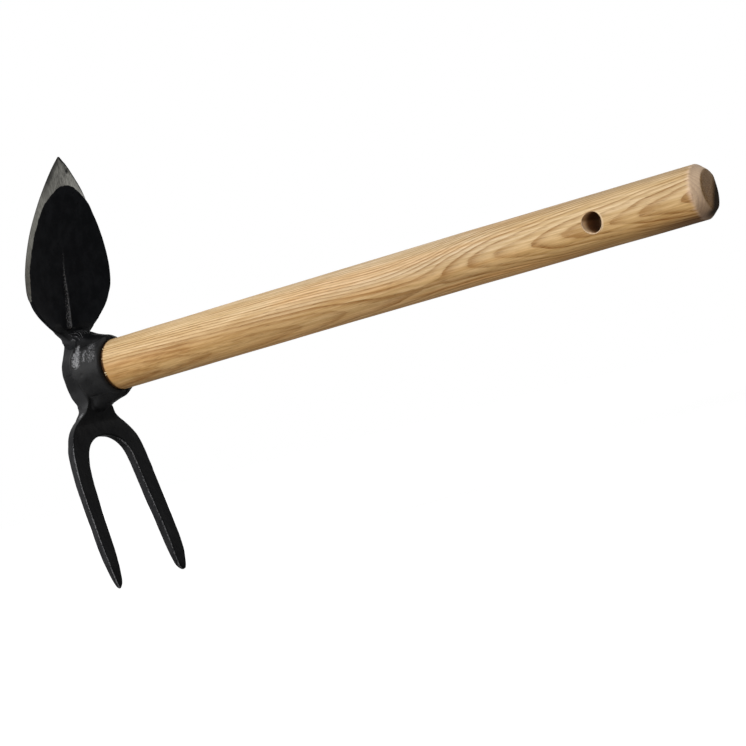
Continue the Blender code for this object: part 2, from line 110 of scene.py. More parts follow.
class HeadSizes(bpy.types.PropertyGroup):
    """Sizes of the forged head."""

    blade_lean: FloatProperty(
        name="Blade lean", description="How far the blade leans towards the handle", default=math.radians(12.3),
        subtype="ANGLE", unit="ROTATION")
    blade_thickness: FloatProperty(
        name="Blade thickness", description="Thickness of the heart plate", default=0.0026, unit="LENGTH")
    blade_dish: FloatProperty(
        name="Blade dish", description="Depth of the hollow in the blade", default=0.0042, unit="LENGTH")
    rib_height: FloatProperty(
        name="Rib height", description="Height of the rib at its lower end", default=0.0020, unit="LENGTH")
    fork_lean: FloatProperty(
        name="Fork lean", description="How far the fork leans towards the handle", default=math.radians(-7.6),
        subtype="ANGLE", unit="ROTATION")
    tine_thickness: FloatProperty(
        name="Tine thickness", description="Thickness of the tines", default=0.0052, unit="LENGTH")
    collar_radius: FloatProperty(
        name="Collar radius", description="Outer radius of the round collar", default=0.0172, unit="LENGTH")
    bore_radius: FloatProperty(
        name="Bore radius", description="Radius of the eye's bore", default=0.0142, unit="LENGTH")
    forge_depth: FloatProperty(
        name="Forging marks", description="Depth of the hammer marks", default=0.00014, unit="LENGTH")
    cell: FloatProperty(
        name="Mesh cell", description="Size of the mesh cells of the forged pieces", default=0.00038, unit="LENGTH")


class HoeColors(bpy.types.PropertyGroup):
    """Colours of the finishes."""

    latewood: FloatVectorProperty(
        name="Latewood", description="Pale wood between the pores", subtype="COLOR", default=(0.785, 0.590, 0.350))
    earlywood: FloatVectorProperty(
        name="Earlywood", description="Brown porous wood", subtype="COLOR", default=(0.40, 0.215, 0.078))
    lacquer: FloatVectorProperty(
        name="Lacquer", description="Black lacquer at its darkest", subtype="COLOR", default=(0.0044, 0.0046, 0.0052))
    # Also the grey painted as fill light under the collar
    dusty_and_lit: FloatVectorProperty(
        name="Dusty lacquer", description="Lacquer dulled by scale on the eye", subtype="COLOR",
        default=(0.0135, 0.0135, 0.0139))
    # Also the grey of the highlights painted on the head
    rubbed_and_highlight: FloatVectorProperty(
        name="Rubbed lacquer", description="Lacquer where it is thin", subtype="COLOR", default=(0.24, 0.24, 0.248))
    steel: FloatVectorProperty(
        name="Ground steel", description="Bare steel", subtype="COLOR", default=(0.218, 0.214, 0.192))


class StageSettings(bpy.types.PropertyGroup):
    """Camera and lamps."""

    lens: FloatProperty(
        name="Lens", description="Focal length on a sensor 36 mm wide, in millimetres", default=115.87)
    key_power: FloatProperty(
        name="Key lamp", description="Power of the large lamp above", default=17.0, unit="POWER")
    side_power: FloatProperty(
        name="Side lamp", description="Power of the upright lamp at the left", default=6.0, unit="POWER")
    fill: FloatProperty(
        name="Fill", description="Strength of the light from all round", default=0.34)


# ---- Meshes ----

def mesh_object(name, vertices, faces, material, smooth_angle=40):
    """Return a new object with smooth faces, sharp where they meet at more than an angle."""
    mesh = bpy.data.meshes.new(name)
    mesh.from_pydata(vertices, [], faces)
    mesh.validate()
    mesh.shade_smooth()
    mesh.set_sharp_from_angle(angle=math.radians(smooth_angle))
    mesh.materials.append(material)
    obj = bpy.data.objects.new(name, mesh)
    bpy.context.scene.collection.objects.link(obj)
    return obj


def place(obj, node, slot):
    """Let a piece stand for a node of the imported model, and ride with it."""
    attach(obj, BODY)
    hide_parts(node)


def points_of(obj):
    """Return the vertices of an object's mesh as an array."""
    points = np.empty(len(obj.data.vertices) * 3)
    obj.data.vertices.foreach_get("co", points)
    return points.reshape(-1, 3)


def move_points(obj, points):
    """Write an array of vertices back to an object's mesh."""
    obj.data.vertices.foreach_set("co", np.asarray(points, dtype=float).ravel())
    obj.data.update()


def normals_of(obj):
    """Return the vertex normals of an object's mesh as an array."""
    normals = np.empty(len(obj.data.vertices) * 3)
    obj.data.vertex_normals.foreach_get("vector", normals)
    return normals.reshape(-1, 3)


def paint(obj, name, values):
    """Store one value for each vertex, for the materials to read."""
    layer = obj.data.attributes.new(name, "FLOAT", "POINT")
    layer.data.foreach_set("value", np.asarray(values, dtype=np.float32))


# Large odd numbers that turn a grid point into an arbitrary one
HASH_FACTORS = (73856093, 19349663, 83492791)
LAST_FACTOR = 1274126177


def soft_noise(points, size, seed):
    """Return smooth noise from -1 to 1 at the points, with lumps of the given size."""
    spots = np.asarray(points, dtype=float) / size + seed * 17.31
    cells = np.floor(spots).astype(np.int64)
    local = spots - cells
    ease = local * local * (3 - 2 * local)
    total = np.zeros(len(spots))
    for corner in np.ndindex(2, 2, 2):
        node = cells + np.array(corner)
        a, b, c = (node * HASH_FACTORS).T
        mixed = a ^ b ^ c
        mixed = ((mixed ^ (mixed >> 13)) * LAST_FACTOR) & 0x7FFFFFFF
        weight = np.prod(np.where(np.array(corner) == 1, ease, 1 - ease), axis=1)
        total += weight * (mixed / 0x3FFFFFFF - 1)
    return total


# Hammer marks and finer scale: size of the lumps, share of the depth, and seed
HAMMER_MARKS = ((0.0085, 1.0, 1), (0.0038, 0.5, 2), (0.0016, 0.22, 3))


def forge(obj, depth):
    """Dent a piece's surface with hammer marks; depth may differ from point to point."""
    points = points_of(obj)
    dents = sum(share * soft_noise(points, size, seed) for size, share, seed in HAMMER_MARKS)
    move_points(obj, points + normals_of(obj) * (depth * dents)[:, None])


def smooth_step(value, low, high):
    """Return 0 below low, 1 above high and a smooth rise between them."""
    t = np.clip((value - low) / (high - low), 0, 1)
    return t * t * (3 - 2 * t)


def blend_min(a, b, reach):
    """Union of two distances, with a fillet of the given reach."""
    near = np.clip(0.5 + 0.5 * (b - a) / reach, 0, 1)
    return b + (a - b) * near - reach * near * (1 - near)


def round_corner(a, b, radius):
    """Intersection of two distances, with a rounded corner."""
    outside = np.hypot(np.maximum(a + radius, 0), np.maximum(b + radius, 0))
    return outside + np.minimum(np.maximum(a, b) + radius, 0) - radius


def ease_curve(value, knots):
    """Return a smooth curve through (place, height) knots at the values."""
    places = np.array([p for p, _ in knots])
    heights = np.array([h for _, h in knots])
    slopes = np.gradient(heights, places)
    index = np.clip(np.searchsorted(places, value) - 1, 0, len(places) - 2)
    width = places[index + 1] - places[index]
    t = np.clip((value - places[index]) / width, 0, 1)
    start = (1 + 2 * t) * (1 - t) ** 2 * heights[index] + t * (1 - t) ** 2 * width * slopes[index]
    end = t * t * (3 - 2 * t) * heights[index + 1] + t * t * (t - 1) * width * slopes[index + 1]
    return start + end


def axis_index(slices):
    """Return an index of a grid from slices by axis; the other axes are taken whole."""
    return tuple(slices.get(axis, slice(None)) for axis in range(3))


def axis_crossings(grid, field, cell, axis):
    """Return which grid edges along an axis are crossed, which start inside, and where they are crossed."""
    first, second = axis_index({axis: slice(0, -1)}), axis_index({axis: slice(1, None)})
    inside = field < 0
    crossed = inside[first] != inside[second]
    gap = np.where(crossed, field[first] - field[second], 1.0)
    share = np.where(crossed, field[first] / gap, 0.0)
    spots = grid[first].copy()
    spots[..., axis] += share * cell
    return crossed, inside[first], spots * crossed[..., None]


def net_faces(axis, crossed, starts_inside, index):
    """Return a quad for each crossed edge along an axis, from the vertices of the four cells round it."""
    a, b = (other for other in range(3) if other != axis)
    inner = axis_index({a: slice(1, -1), b: slice(1, -1)})
    edges = np.argwhere(crossed[inner])
    turned = starts_inside[inner][tuple(edges.T)]
    if axis == 1:
        turned = ~turned
    corners = []
    for da, db in ((1, 1), (0, 1), (0, 0), (1, 0)):
        near = edges.copy()
        near[:, a] += 1 - da
        near[:, b] += 1 - db
        corners.append(index[tuple(near.T)])
    quads = np.stack(corners, axis=1)
    quads[~turned] = quads[~turned][:, ::-1]
    return quads


def surface_net(distance, low, high, cell):
    """Return the vertices and faces of the surface where a distance is zero, as an even net of quads."""
    counts = [int(math.ceil((b - a) / cell)) + 1 for a, b in zip(low, high)]
    axes = [a + cell * np.arange(n) for a, n in zip(low, counts)]
    grid = np.stack(np.meshgrid(*axes, indexing="ij"), axis=-1)
    field = distance(grid[..., 0], grid[..., 1], grid[..., 2])
    cells = tuple(n - 1 for n in counts)
    total = np.zeros(cells + (3,))
    hits = np.zeros(cells)
    edges = []
    for axis in range(3):
        crossed, starts_inside, spots = axis_crossings(grid, field, cell, axis)
        edges.append((crossed, starts_inside))
        a, b = (other for other in range(3) if other != axis)
        for da, db in np.ndindex(2, 2):
            part = axis_index({a: slice(da, cells[a] + da), b: slice(db, cells[b] + db)})
            total += spots[part]
            hits += crossed[part]
    used = hits > 0
    index = -np.ones(cells, dtype=np.int64)
    index[used] = np.arange(used.sum())
    vertices = settle(distance, total[used] / hits[used][:, None], cell)
    return vertices, np.concatenate([net_faces(axis, *found, index) for axis, found in enumerate(edges)])


def settle(distance, vertices, cell):
    """Move vertices along the distance's slope until they lie on its surface."""
    step = cell * 0.2
    for _ in range(2):
        x, y, z = vertices.T
        here = distance(x, y, z)
        slope = np.stack([
            distance(x + step, y, z) - distance(x - step, y, z),
            distance(x, y + step, z) - distance(x, y - step, z),
            distance(x, y, z + step) - distance(x, y, z - step),
        ], axis=1) / (2 * step)
        length = np.maximum((slope ** 2).sum(axis=1), 0.25)
        move = slope * (here / length)[:, None]
        vertices = vertices - np.clip(move, -cell / 2, cell / 2)
    return vertices


def loft(rings):
    """Return the vertices and faces of a closed skin over rings with equal numbers of points."""
    rings = np.asarray(rings)
    count = rings.shape[1]
    faces = []
    for i in range(len(rings) - 1):
        for j in range(count):
            k = (j + 1) % count
            faces.append((i * count + j, i * count + k, (i + 1) * count + k, (i + 1) * count + j))
    last = (len(rings) - 1) * count
    faces.append(tuple(reversed(range(count))))
    faces.append(tuple(last + j for j in range(count)))
    return rings.reshape(-1, 3), faces


def cut(obj, cutter):
    """Cut an object's mesh with another object, which is then removed."""
    modifier = obj.modifiers.new("cut", "BOOLEAN")
    modifier.operation = "DIFFERENCE"
    modifier.solver = "EXACT"
    modifier.object = cutter
    apply_modifiers(obj)
    bpy.data.objects.remove(cutter, do_unlink=True)


def apply_modifiers(obj):
    """Replace an object's mesh by what its modifiers make of it."""
    bpy.context.view_layer.update()
    evaluated = obj.evaluated_get(bpy.context.evaluated_depsgraph_get())
    mesh = bpy.data.meshes.new_from_object(evaluated)
    obj.modifiers.clear()
    obj.data = mesh


def flip_outward(obj):
    """Turn an object's faces outward."""
    bm = bmesh.new()
    bm.from_mesh(obj.data)
    bmesh.ops.recalc_face_normals(bm, faces=bm.faces)
    bm.to_mesh(obj.data)
    bm.free()


# ---- Handle ----

HANDLE_SIDES = 144
HOLE_SIDES = 64
HOLE_CUTTER_REACH = 0.022
SHARP_ANGLE = math.radians(50)
# Gap and rounding where the stick enters the eye, the tenon's chamfer, and where the taper ends
MOUTH_GAP = 0.0003
MOUTH_ROUNDING = 0.0013
TENON_CHAMFER = 0.0008
BEFORE_CHAMFER = 0.0009
# Depth and size of the waves in the turned surface and in the sanded edge of the end face
TURNING_WAVES = 0.00010
TURNING_WAVE_SIZE = 0.009
SANDING_WAVES = 0.0008
SANDING_WAVE_SIZE = 0.0100


def handle_profile(sizes):
    """Return (x, radius) stations from the head end to the free end."""
    mouth = EYE_MOUTH_X + MOUTH_GAP
    stations = [(HEAD_END_X, sizes.tenon_radius - TENON_CHAMFER), (HEAD_END_X + TENON_CHAMFER, sizes.tenon_radius)]
    stations += [(x, sizes.tenon_radius) for x in np.linspace(HEAD_END_X + 0.004, mouth - 0.0004, 8)]
    for angle in np.radians(np.linspace(-60, 0, 7)):
        radius = sizes.eye_radius - MOUTH_ROUNDING * (1 - math.cos(angle))
        stations.append((mouth + MOUTH_ROUNDING * (1 + math.sin(angle)), radius))
    shoulder = -sizes.chamfer_length
    for share in np.linspace(0, 1, 180)[1:]:
        x = mouth + MOUTH_ROUNDING + share * (shoulder - BEFORE_CHAMFER - mouth - MOUTH_ROUNDING)
        stations.append((x, sizes.eye_radius + share * (sizes.end_radius - sizes.eye_radius)))
    # The edges of the chamfer are slightly rounded
    face = sizes.end_radius - sizes.chamfer_depth
    slope = sizes.chamfer_depth / sizes.chamfer_length
    stations += [
        (shoulder - 0.0004, sizes.end_radius - 0.00004),
        (shoulder, sizes.end_radius - 0.00022),
        (shoulder + 0.0005, sizes.end_radius - 0.0005 * slope - 0.00008),
    ]
    for share in np.linspace(0.2, 0.9, 8):
        stations.append((shoulder + share * sizes.chamfer_length, sizes.end_radius - share * sizes.chamfer_depth))
    stations += [(-0.00022, face + 0.0001), (-0.00004, face - 0.0004)]
    stations += [(0.0, face * share) for share in (0.85, 0.7, 0.5, 0.3, 0.12)]
    return stations


def build_handle(sizes, colors):
    """Make the ash stick with its tenon, bow, chamfer, hanging hole and the splinters at the eye."""
    angles = np.linspace(0, 2 * math.pi, HANDLE_SIDES, endpoint=False)
    vertices, faces = loft([
        np.stack([np.full(HANDLE_SIDES, x), radius * np.cos(angles), radius * np.sin(angles)], axis=1)
        for x, radius in handle_profile(sizes)
    ])
    x = vertices[:, 0].copy()
    radius = np.hypot(vertices[:, 1], vertices[:, 2])
    along = np.clip((x - EYE_MOUTH_X) / -EYE_MOUTH_X, 0, 1)
    slow = soft_noise(vertices * np.array([0.35, 1.0, 1.0]), TURNING_WAVE_SIZE, 4)
    out = TURNING_WAVES * slow * np.clip((x - EYE_MOUTH_X) / 0.02, 0, 1) * (x < -0.003)
    vertices[:, 1:] *= (1 + out / np.maximum(radius, 0.004))[:, None]
    sanded = smooth_step(x, -0.0048, -0.0030)
    waves = SANDING_WAVES * soft_noise(vertices * np.array([0.0, 1.0, 1.0]), SANDING_WAVE_SIZE, 9)
    vertices[:, 0] -= np.abs(waves) * sanded * np.clip((radius - 0.0080) / 0.0018, 0, 1)
    vertices[:, 2] += sizes.bow * np.sin(along * math.pi) + sizes.rise * along
    obj = mesh_object("ash_handle", vertices, faces, ash_material(sizes, colors))

    angles = np.linspace(0, 2 * math.pi, HOLE_SIDES, endpoint=False)
    hole_x = -sizes.hole_from_end + sizes.hole_radius * np.cos(angles)
    hole_z = sizes.hole_radius * np.sin(angles) + sizes.rise
    vertices, faces = loft([
        np.stack([hole_x, np.full(HOLE_SIDES, y), hole_z], axis=1)
        for y in np.linspace(-HOLE_CUTTER_REACH, HOLE_CUTTER_REACH, 3)
    ])
    hole = mesh_object("hole_cutter", vertices, faces, obj.data.materials[0])
    flip_outward(hole)
    cut(obj, hole)
    obj.data.shade_smooth()
    obj.data.set_sharp_from_angle(angle=SHARP_ANGLE)
    soften_hole(obj)
    add_splinters(obj, sizes)
    place(obj, "handle", "ash")
    return obj


# Splinters where the wood enters the eye: angle from straight up towards the front, length, width
SPLINTERS = ((72, 0.0016, 0.0007), (104, 0.0024, 0.0011), (109, 0.0014, 0.0007), (48, 0.0012, 0.0006))
SPLINTER_DEPTH = 0.0004
SPLINTER_HEIGHT = 0.0010
SPLINTER_LIFT = 0.0002
HOLE_BEVEL = 0.0003


def add_splinters(obj, sizes):
    """Raise a few thin splinters out of the wood at the mouth of the eye."""
    bm = bmesh.new()
    bm.from_mesh(obj.data)
    pale = bm.verts.layers.float.new("chip")
    for angle, length, width in SPLINTERS:
        turn = math.radians(angle)
        out = Vector((0.0, -math.sin(turn), math.cos(turn)))
        side = Vector((0.0, math.cos(turn), math.sin(turn)))
        foot = Vector((EYE_MOUTH_X + 0.0007, 0.0, 0.0)) + out * (sizes.eye_radius - SPLINTER_DEPTH)
        tip = foot + Vector((length, 0.0, 0.0)) + out * SPLINTER_LIFT
        corners = [foot + side * width / 2, foot - side * width / 2, foot + out * SPLINTER_HEIGHT, tip]
        verts = [bm.verts.new(point) for point in corners]
        for vert in verts:
            vert[pale] = 1.0
        for a, b, c in ((0, 1, 2), (0, 3, 1), (1, 3, 2), (2, 3, 0)):
            bm.faces.new((verts[a], verts[b], verts[c]))
    bmesh.ops.recalc_face_normals(bm, faces=bm.faces)
    bm.to_mesh(obj.data)
    bm.free()


def soften_hole(obj):
    """Round the rim of the hanging hole with a small bevel."""
    modifier = obj.modifiers.new("rim", "BEVEL")
    modifier.width = HOLE_BEVEL
    modifier.segments = 2
    modifier.limit_method = "ANGLE"
    modifier.angle_limit = math.radians(60)
    apply_modifiers(obj)
    obj.data.shade_smooth()
    obj.data.set_sharp_from_angle(angle=SHARP_ANGLE)


# ---- Head ----

# Shape of the bar behind the collar, as (z, size) knots
NECK_FRONT_WIDTHS = (
    (-0.0250, 0.0150), (-0.0223, 0.0134), (-0.0200, 0.0123), (-0.0164, 0.0114), (-0.0125, 0.0119), (-0.0085, 0.0134),
    (-0.0050, 0.0150), (0.0000, 0.0163), (0.0050, 0.0162), (0.0095, 0.0146), (0.0130, 0.0116), (0.0160, 0.0093),
    (0.0185, 0.0084), (0.0208, 0.0084), (0.0226, 0.0101), (0.0240, 0.0122), (0.0262, 0.0152),
)
NECK_BACK_WIDTHS = (
    (-0.0255, 0.0140), (-0.0237, 0.0122), (-0.0214, 0.0097), (-0.0194, 0.0086), (-0.0169, 0.0093), (-0.0123, 0.0117),
    (-0.0077, 0.0138), (-0.0032, 0.0149), (0.0014, 0.0154), (0.0059, 0.0142), (0.0105, 0.0112), (0.0150, 0.0081),
    (0.0173, 0.0068), (0.0200, 0.0062), (0.0219, 0.0064), (0.0242, 0.0084), (0.0262, 0.0108),
)
BAR_FRONTS = (
    (-0.0270, -0.0228), (-0.0240, -0.0220), (-0.0215, -0.0210), (-0.0195, -0.0200), (-0.0165, -0.0181),
    (-0.0120, -0.0171), (-0.0060, -0.0178), (0.0060, -0.0185), (0.0120, -0.0184), (0.0170, -0.0184),
    (0.0205, -0.0196), (0.0235, -0.0215), (0.0265, -0.0236),
)
BAR_BACKS = (
    (-0.0270, -0.0286), (-0.0200, -0.0286), (-0.0130, -0.0284), (-0.0080, -0.0280), (0.0080, -0.0280),
    (0.0130, -0.0284), (0.0210, -0.0286), (0.0265, -0.0288),
)
# Weld metal that runs out onto the collar, above and below, as (x, size) knots
MOUND_TOPS = (
    (-0.0280, 0.0262), (-0.0240, 0.0254), (-0.0200, 0.0243), (-0.0160, 0.0226), (-0.0110, 0.0200), (-0.0060, 0.0176),
    (-0.0020, 0.0155), (0.0000, 0.0145),
)
MOUND_HALF_WIDTHS = (
    (-0.0280, 0.0048), (-0.0240, 0.0058), (-0.0200, 0.0068), (-0.0150, 0.0076), (-0.0110, 0.0072), (-0.0070, 0.0060),
    (-0.0020, 0.0032), (0.0000, 0.0010),
)
GUSSET_BOTTOMS = (
    (-0.0280, -0.0240), (-0.0220, -0.0233), (-0.0180, -0.0220), (-0.0150, -0.0208), (-0.0130, -0.0197),
    (-0.0105, -0.0190), (-0.0080, -0.0183), (-0.0050, -0.0175), (0.0000, -0.0160),
)
GUSSET_HALF_WIDTHS = (
    (-0.0280, 0.0050), (-0.0220, 0.0068), (-0.0180, 0.0080), (-0.0120, 0.0086), (-0.0060, 0.0065), (-0.0010, 0.0035),
    (0.0000, 0.0010),
)
BAR_MIDDLE = 0.0006
BAR_HALF = 0.0252
BAR_BACK = -0.0286
BAR_DEPTH = 0.0096
# How far the bar stands aside at its lower end, and how round its edges are
BAR_ASIDE = 0.0010
BAR_BACK_ROUNDING = 0.0008
BAR_FRONT_ROUNDING = 0.0006
BAR_END_ROUNDING = 0.0010
WELD_BACK = -0.0272
# The collar is shorter at the bottom, and a fillet joins it to the bar
COLLAR_HALF_DEPTH = 0.0101
COLLAR_SHORTER = 0.0014
COLLAR_BACK_ROUNDING = 0.0009
COLLAR_FRONT_ROUNDING = 0.0016
COLLAR_FILLET = 0.0012
BORE_ROUNDING = 0.0008
BLADE_SEAT = (-0.0244, 0.0234)
FORK_SEAT = (-0.02378, -0.0219)
FORK_TOP = 0.0006
EYE_TOP = 0.0211
EYE_BOTTOM = -0.0196
# How far weld metal sinks where it adds nothing, and how far it stays off the bore
SINK = 0.00012
WELD_OFF_BORE = 0.0006
# Lowest and highest heights of the two welds
BLADE_WELD_ENDS = (0.0145, 0.0345)
FORK_WELD_ENDS = (-0.0310, -0.0140)
# Boxes that the nets are worked out in; the fork's is in its own leaning frame
EYE_REGION = ((-0.0305, -0.0195, -0.0215), (0.0015, 0.0195, 0.0230))
BLADE_WELD_REGION = ((-0.0310, -0.0235, 0.0140), (0.0005, 0.0235, 0.0350))
FORK_WELD_REGION = ((-0.0310, -0.0235, -0.0316), (0.0005, 0.0235, -0.0130))
FORK_REGION = ((-0.0075, -0.0375, -0.1025), (0.0045, 0.0375, 0.0022))

# Marks on the head: places where the lacquer is rubbed and where highlights are painted (two ends, reach, strength),
# and small dents
# (x, y, z, reach, depth)
RUBBED_AND_HIGHLIGHT_STROKES = (
    ((-0.0168, -0.0092, 0.0145), (-0.0154, -0.0132, 0.0110), 0.0016, 1.0),
    ((-0.0158, -0.0132, 0.0110), (-0.0157, -0.0163, 0.0056), 0.0028, 1.0),
    ((-0.0104, -0.0130, 0.0114), (-0.0104, -0.0158, 0.0064), 0.0013, 0.66),
    # Painted highlights: a broad one on the collar, and one on the fork's left shoulder
    ((-0.0060, -0.0118, 0.0124), (-0.0052, -0.0154, 0.0076), 0.0036, 0.52),
    ((-0.0240, -0.0118, -0.0226), (-0.0246, -0.0128, -0.0248), 0.0018, 0.85),
)
SMALL_DENTS = (
    (-0.0036, -0.0165, 0.0049, 0.0006, 0.0004),
    (-0.0176, -0.0166, 0.0038, 0.0006, 0.0004),
    (-0.0164, -0.0170, 0.0036, 0.0006, 0.0005),
    (-0.0152, -0.0172, 0.0036, 0.0006, 0.0004),
    (-0.0130, -0.0172, -0.0012, 0.0008, 0.0003),
)


def eye_body(sizes):
    """Return the distance to the collar and the bar behind it, without the bore."""
    def distance(x, y, z):
        shorter = COLLAR_SHORTER * smooth_step(-z, 0.0010, 0.0070)
        ends = np.abs(x + COLLAR_HALF_DEPTH - shorter) - COLLAR_HALF_DEPTH + shorter
        rounding = np.where(x < -COLLAR_HALF_DEPTH, COLLAR_BACK_ROUNDING, COLLAR_FRONT_ROUNDING)
        collar = round_corner(np.hypot(y, z) - sizes.collar_radius, ends, rounding)
        fronts = ease_curve(z, BAR_FRONTS)
        backs = ease_curve(z, BAR_BACKS)
        middle = (fronts + backs) / 2
        wide, narrow = ease_curve(z, NECK_FRONT_WIDTHS), ease_curve(z, NECK_BACK_WIDTHS)
        taper = (wide - narrow) / BAR_DEPTH
        half_width = narrow + taper * np.clip(x - BAR_BACK, -0.001, 0.0115)
        aside = BAR_ASIDE * smooth_step(-z, 0.011, 0.018)
        side = (np.abs(y - aside) - half_width) / np.hypot(1.0, taper)
        edge = np.where(x < middle, BAR_BACK_ROUNDING, BAR_FRONT_ROUNDING)
        bar = round_corner(side, np.abs(x - middle) - (fronts - backs) / 2, edge)
        bar = round_corner(bar, np.abs(z - BAR_MIDDLE) - BAR_HALF, BAR_END_ROUNDING)
        return blend_min(collar, bar, COLLAR_FILLET)
    return distance


def eye_piece(sizes):
    """Return the distance to the eye as it was forged: body, bore, and its ends where the welds sit."""
    body = eye_body(sizes)

    def distance(x, y, z):
        bored = -blend_min(-body(x, y, z), np.hypot(y, z) - sizes.bore_radius, BORE_ROUNDING)
        return np.maximum(bored, np.maximum(z - EYE_TOP, EYE_BOTTOM - z))
    return distance


def build_eye(sizes, colors):
    """Make the eye: the round collar and the bar behind it."""
    vertices, faces = surface_net(eye_piece(sizes), *EYE_REGION, sizes.cell)
    material = lacquer_material("eye_lacquer", colors, 1.3, 0.10)
    obj = head_piece("forged_eye", vertices, faces, material, sizes)
    place(obj, "eye_socket", "lacquered_steel")
    return obj


def head_piece(name, vertices, faces, material, sizes):
    """Turn a net in the head's frame into a dented object in the frame of the model."""
    moved = vertices + np.array([EYE_MOUTH_X, 0.0, 0.0])
    obj = mesh_object(name, moved, [tuple(f) for f in faces.tolist()], material)
    forge(obj, sizes.forge_depth)
    points = points_of(obj)
    for x, y, z, reach, depth in SMALL_DENTS:
        away = np.linalg.norm(vertices - np.array([x, y, z]), axis=1) / reach
        points = points - normals_of(obj) * (depth * np.exp(-away ** 2))[:, None]
    move_points(obj, points)
    paint_lacquer(obj, vertices)
    return obj


def paint_lacquer(obj, vertices):
    """Paint where the lacquer of a head piece is rubbed, dusty or bare, and where it is painted lighter as painted
    light; vertices are in the head's frame.
    """
    x, y, z = vertices.T
    sideways = -normals_of(obj)[:, 1]
    # Rubbed thin: strokes on the eye, some of them painted highlights, and painted highlights on the crests of the
    # weld's ripples
    crest_highlights = 0.62 * smooth_step(scale_wave(x, y, z), 0.45, 0.80) * scaly_part(x, y, z) * (x > -0.0215)
    paint(obj, "rubbed_and_highlight", np.maximum(rubbed_and_highlight_places(vertices), crest_highlights))

    # Dusty, and painted fill light: the eye apart from the bar's left side; less above it, and little on the tines
    aside = smooth_step(sideways, 0.50, 0.75) * smooth_step(-x, 0.0175, 0.0195)
    under_blade = smooth_step(z, 0.0150, 0.0190) * (1 - aside)
    front = smooth_step(z, -0.0400, -0.0150) * (1 - under_blade) * (1 - 0.95 * aside)
    upper = 0.25 * smooth_step(z, 0.0230, 0.0290)
    # Painted fill light: from the collar's middle down to the fork's neck the lacquer is lifted to the dusty grey
    # against the shade under the collar
    low = 0.02 + 0.06 * smooth_step(-z, 0.0340, 0.0500) + 0.75 * smooth_step(z, -0.0350, -0.0290) * (z < 0)
    paint(obj, "dust_and_fill_light", np.maximum(np.maximum(front, upper), low))

    # Bare, and painted light: the bar's left side below the middle, the collar's underside, and left of the blade's
    # foot are painted a lighter grey, which stands for light on the faces turned to the lamps at the left and lifts
    # the shade under the collar
    below = aside * smooth_step(z, -0.0260, -0.0200) * smooth_step(-z, 0.0040, 0.0130)
    above = smooth_step(sideways, 0.10, 0.40) * smooth_step(-y, 0.0070, 0.0085) * smooth_step(z, 0.0150, 0.0205)
    beneath = smooth_step(-z, 0.0050, 0.0120) * smooth_step(x, -0.0190, -0.0150)
    beneath = beneath * (1 - smooth_step(-z, 0.0210, 0.0270))
    bare = 0.30 * below + 0.11 * beneath * (1 - aside)
    paint(obj, "bare_and_lit_side", bare + 0.34 * above * (1 - smooth_step(z, 0.0228, 0.0256)))


def rubbed_and_highlight_places(points):
    """Return how far the lacquer is rubbed thin, and lightened by painted highlights, at each point, from 0 to 1."""
    value = np.zeros(len(points))
    for start, end, reach, strength in RUBBED_AND_HIGHLIGHT_STROKES:
        start, end = np.array(start), np.array(end)
        share = np.clip((points - start) @ (end - start) / ((end - start) @ (end - start)), 0, 1)
        away = np.linalg.norm(points - start - share[:, None] * (end - start), axis=1) / reach
        value = np.maximum(value, strength * np.exp(-away ** 4))
    return value


def leaning(seat, lean, x, z):
    """Return the distances across and along a plate that leans from its seat."""
    across = (x - seat[0]) * math.cos(lean) - (z - seat[1]) * math.sin(lean)
    height = (x - seat[0]) * math.sin(lean) + (z - seat[1]) * math.cos(lean)
    return across, height


def blade_plate(sizes):
    """Return the distance to the dished plate of the blade near its root."""
    def distance(x, y, z):
        across, height = leaning(BLADE_SEAT, sizes.blade_lean, x, z)
        half_width = ease_curve(height, BLADE_HALF_WIDTHS)
        slope = (ease_curve(height + 0.0005, BLADE_HALF_WIDTHS) - half_width) / 0.0005
        middle = -sizes.blade_dish * (1 - np.minimum(np.abs(y) / half_width, 1.2) ** 2)
        side = (np.abs(y) - half_width) / np.hypot(1, slope)
        flat = np.abs(across - middle) - sizes.blade_thickness / 2
        return np.maximum(round_corner(side, flat, 0.0006), -0.0035 - height)
    return distance


def weld_piece(sizes, eye, plate, eye_part, plate_part, mound, reach):
    """Return the distance to weld metal between the eye and a plate; it sinks where it adds nothing to them."""
    def distance(x, y, z):
        metal = blend_min(eye(x, y, z), mound(x, y, z), 0.0018 + 0.0036 * smooth_step(x, -0.0190, -0.0120))
        joined = blend_min(metal, plate(x, y, z), reach(y))
        added = np.minimum(eye_part(x, y, z), plate_part(x, y, z)) - joined
        sunk = joined + np.maximum(SINK - added, 0)
        return np.maximum(sunk, sizes.bore_radius + WELD_OFF_BORE - np.hypot(y, z))
    return distance


RIPPLE_HEIGHT = 0.00055
RIPPLE_LENGTH = 0.0020
# Rounding of the weld's mound above the collar and of the gusset below it, and the gusset's place sideways
MOUND_ROUNDING = 0.0032
GUSSET_ROUNDING = 0.0045
GUSSET_ASIDE = 0.0004
# Fillets between a plate and its weld: least, and how much wider towards the blade's sides
PLATE_FILLET = 0.0022
WIDER_FILLET = 0.0036


def scale_wave(x, y, z):
    """Return the overlapping ripples of the weld, from 0 to 1, rising to a sharp front."""
    bent = y + 0.5 * z + (x + 0.0190) ** 2 / 0.0060
    return (bent / RIPPLE_LENGTH) % 1.0


def scaly_part(x, y, z):
    """Return 1 where the ripples of the weld lie, and 0 away from them."""
    along = smooth_step(x, -0.0235, -0.0215) * (1 - smooth_step(x, -0.0150, -0.0110))
    across = smooth_step(y, -0.0096, -0.0080) * (1 - smooth_step(y, 0.0020, 0.0050))
    return along * across * smooth_step(z, 0.0178, 0.0190) * (1 - smooth_step(z, 0.0240, 0.0255))


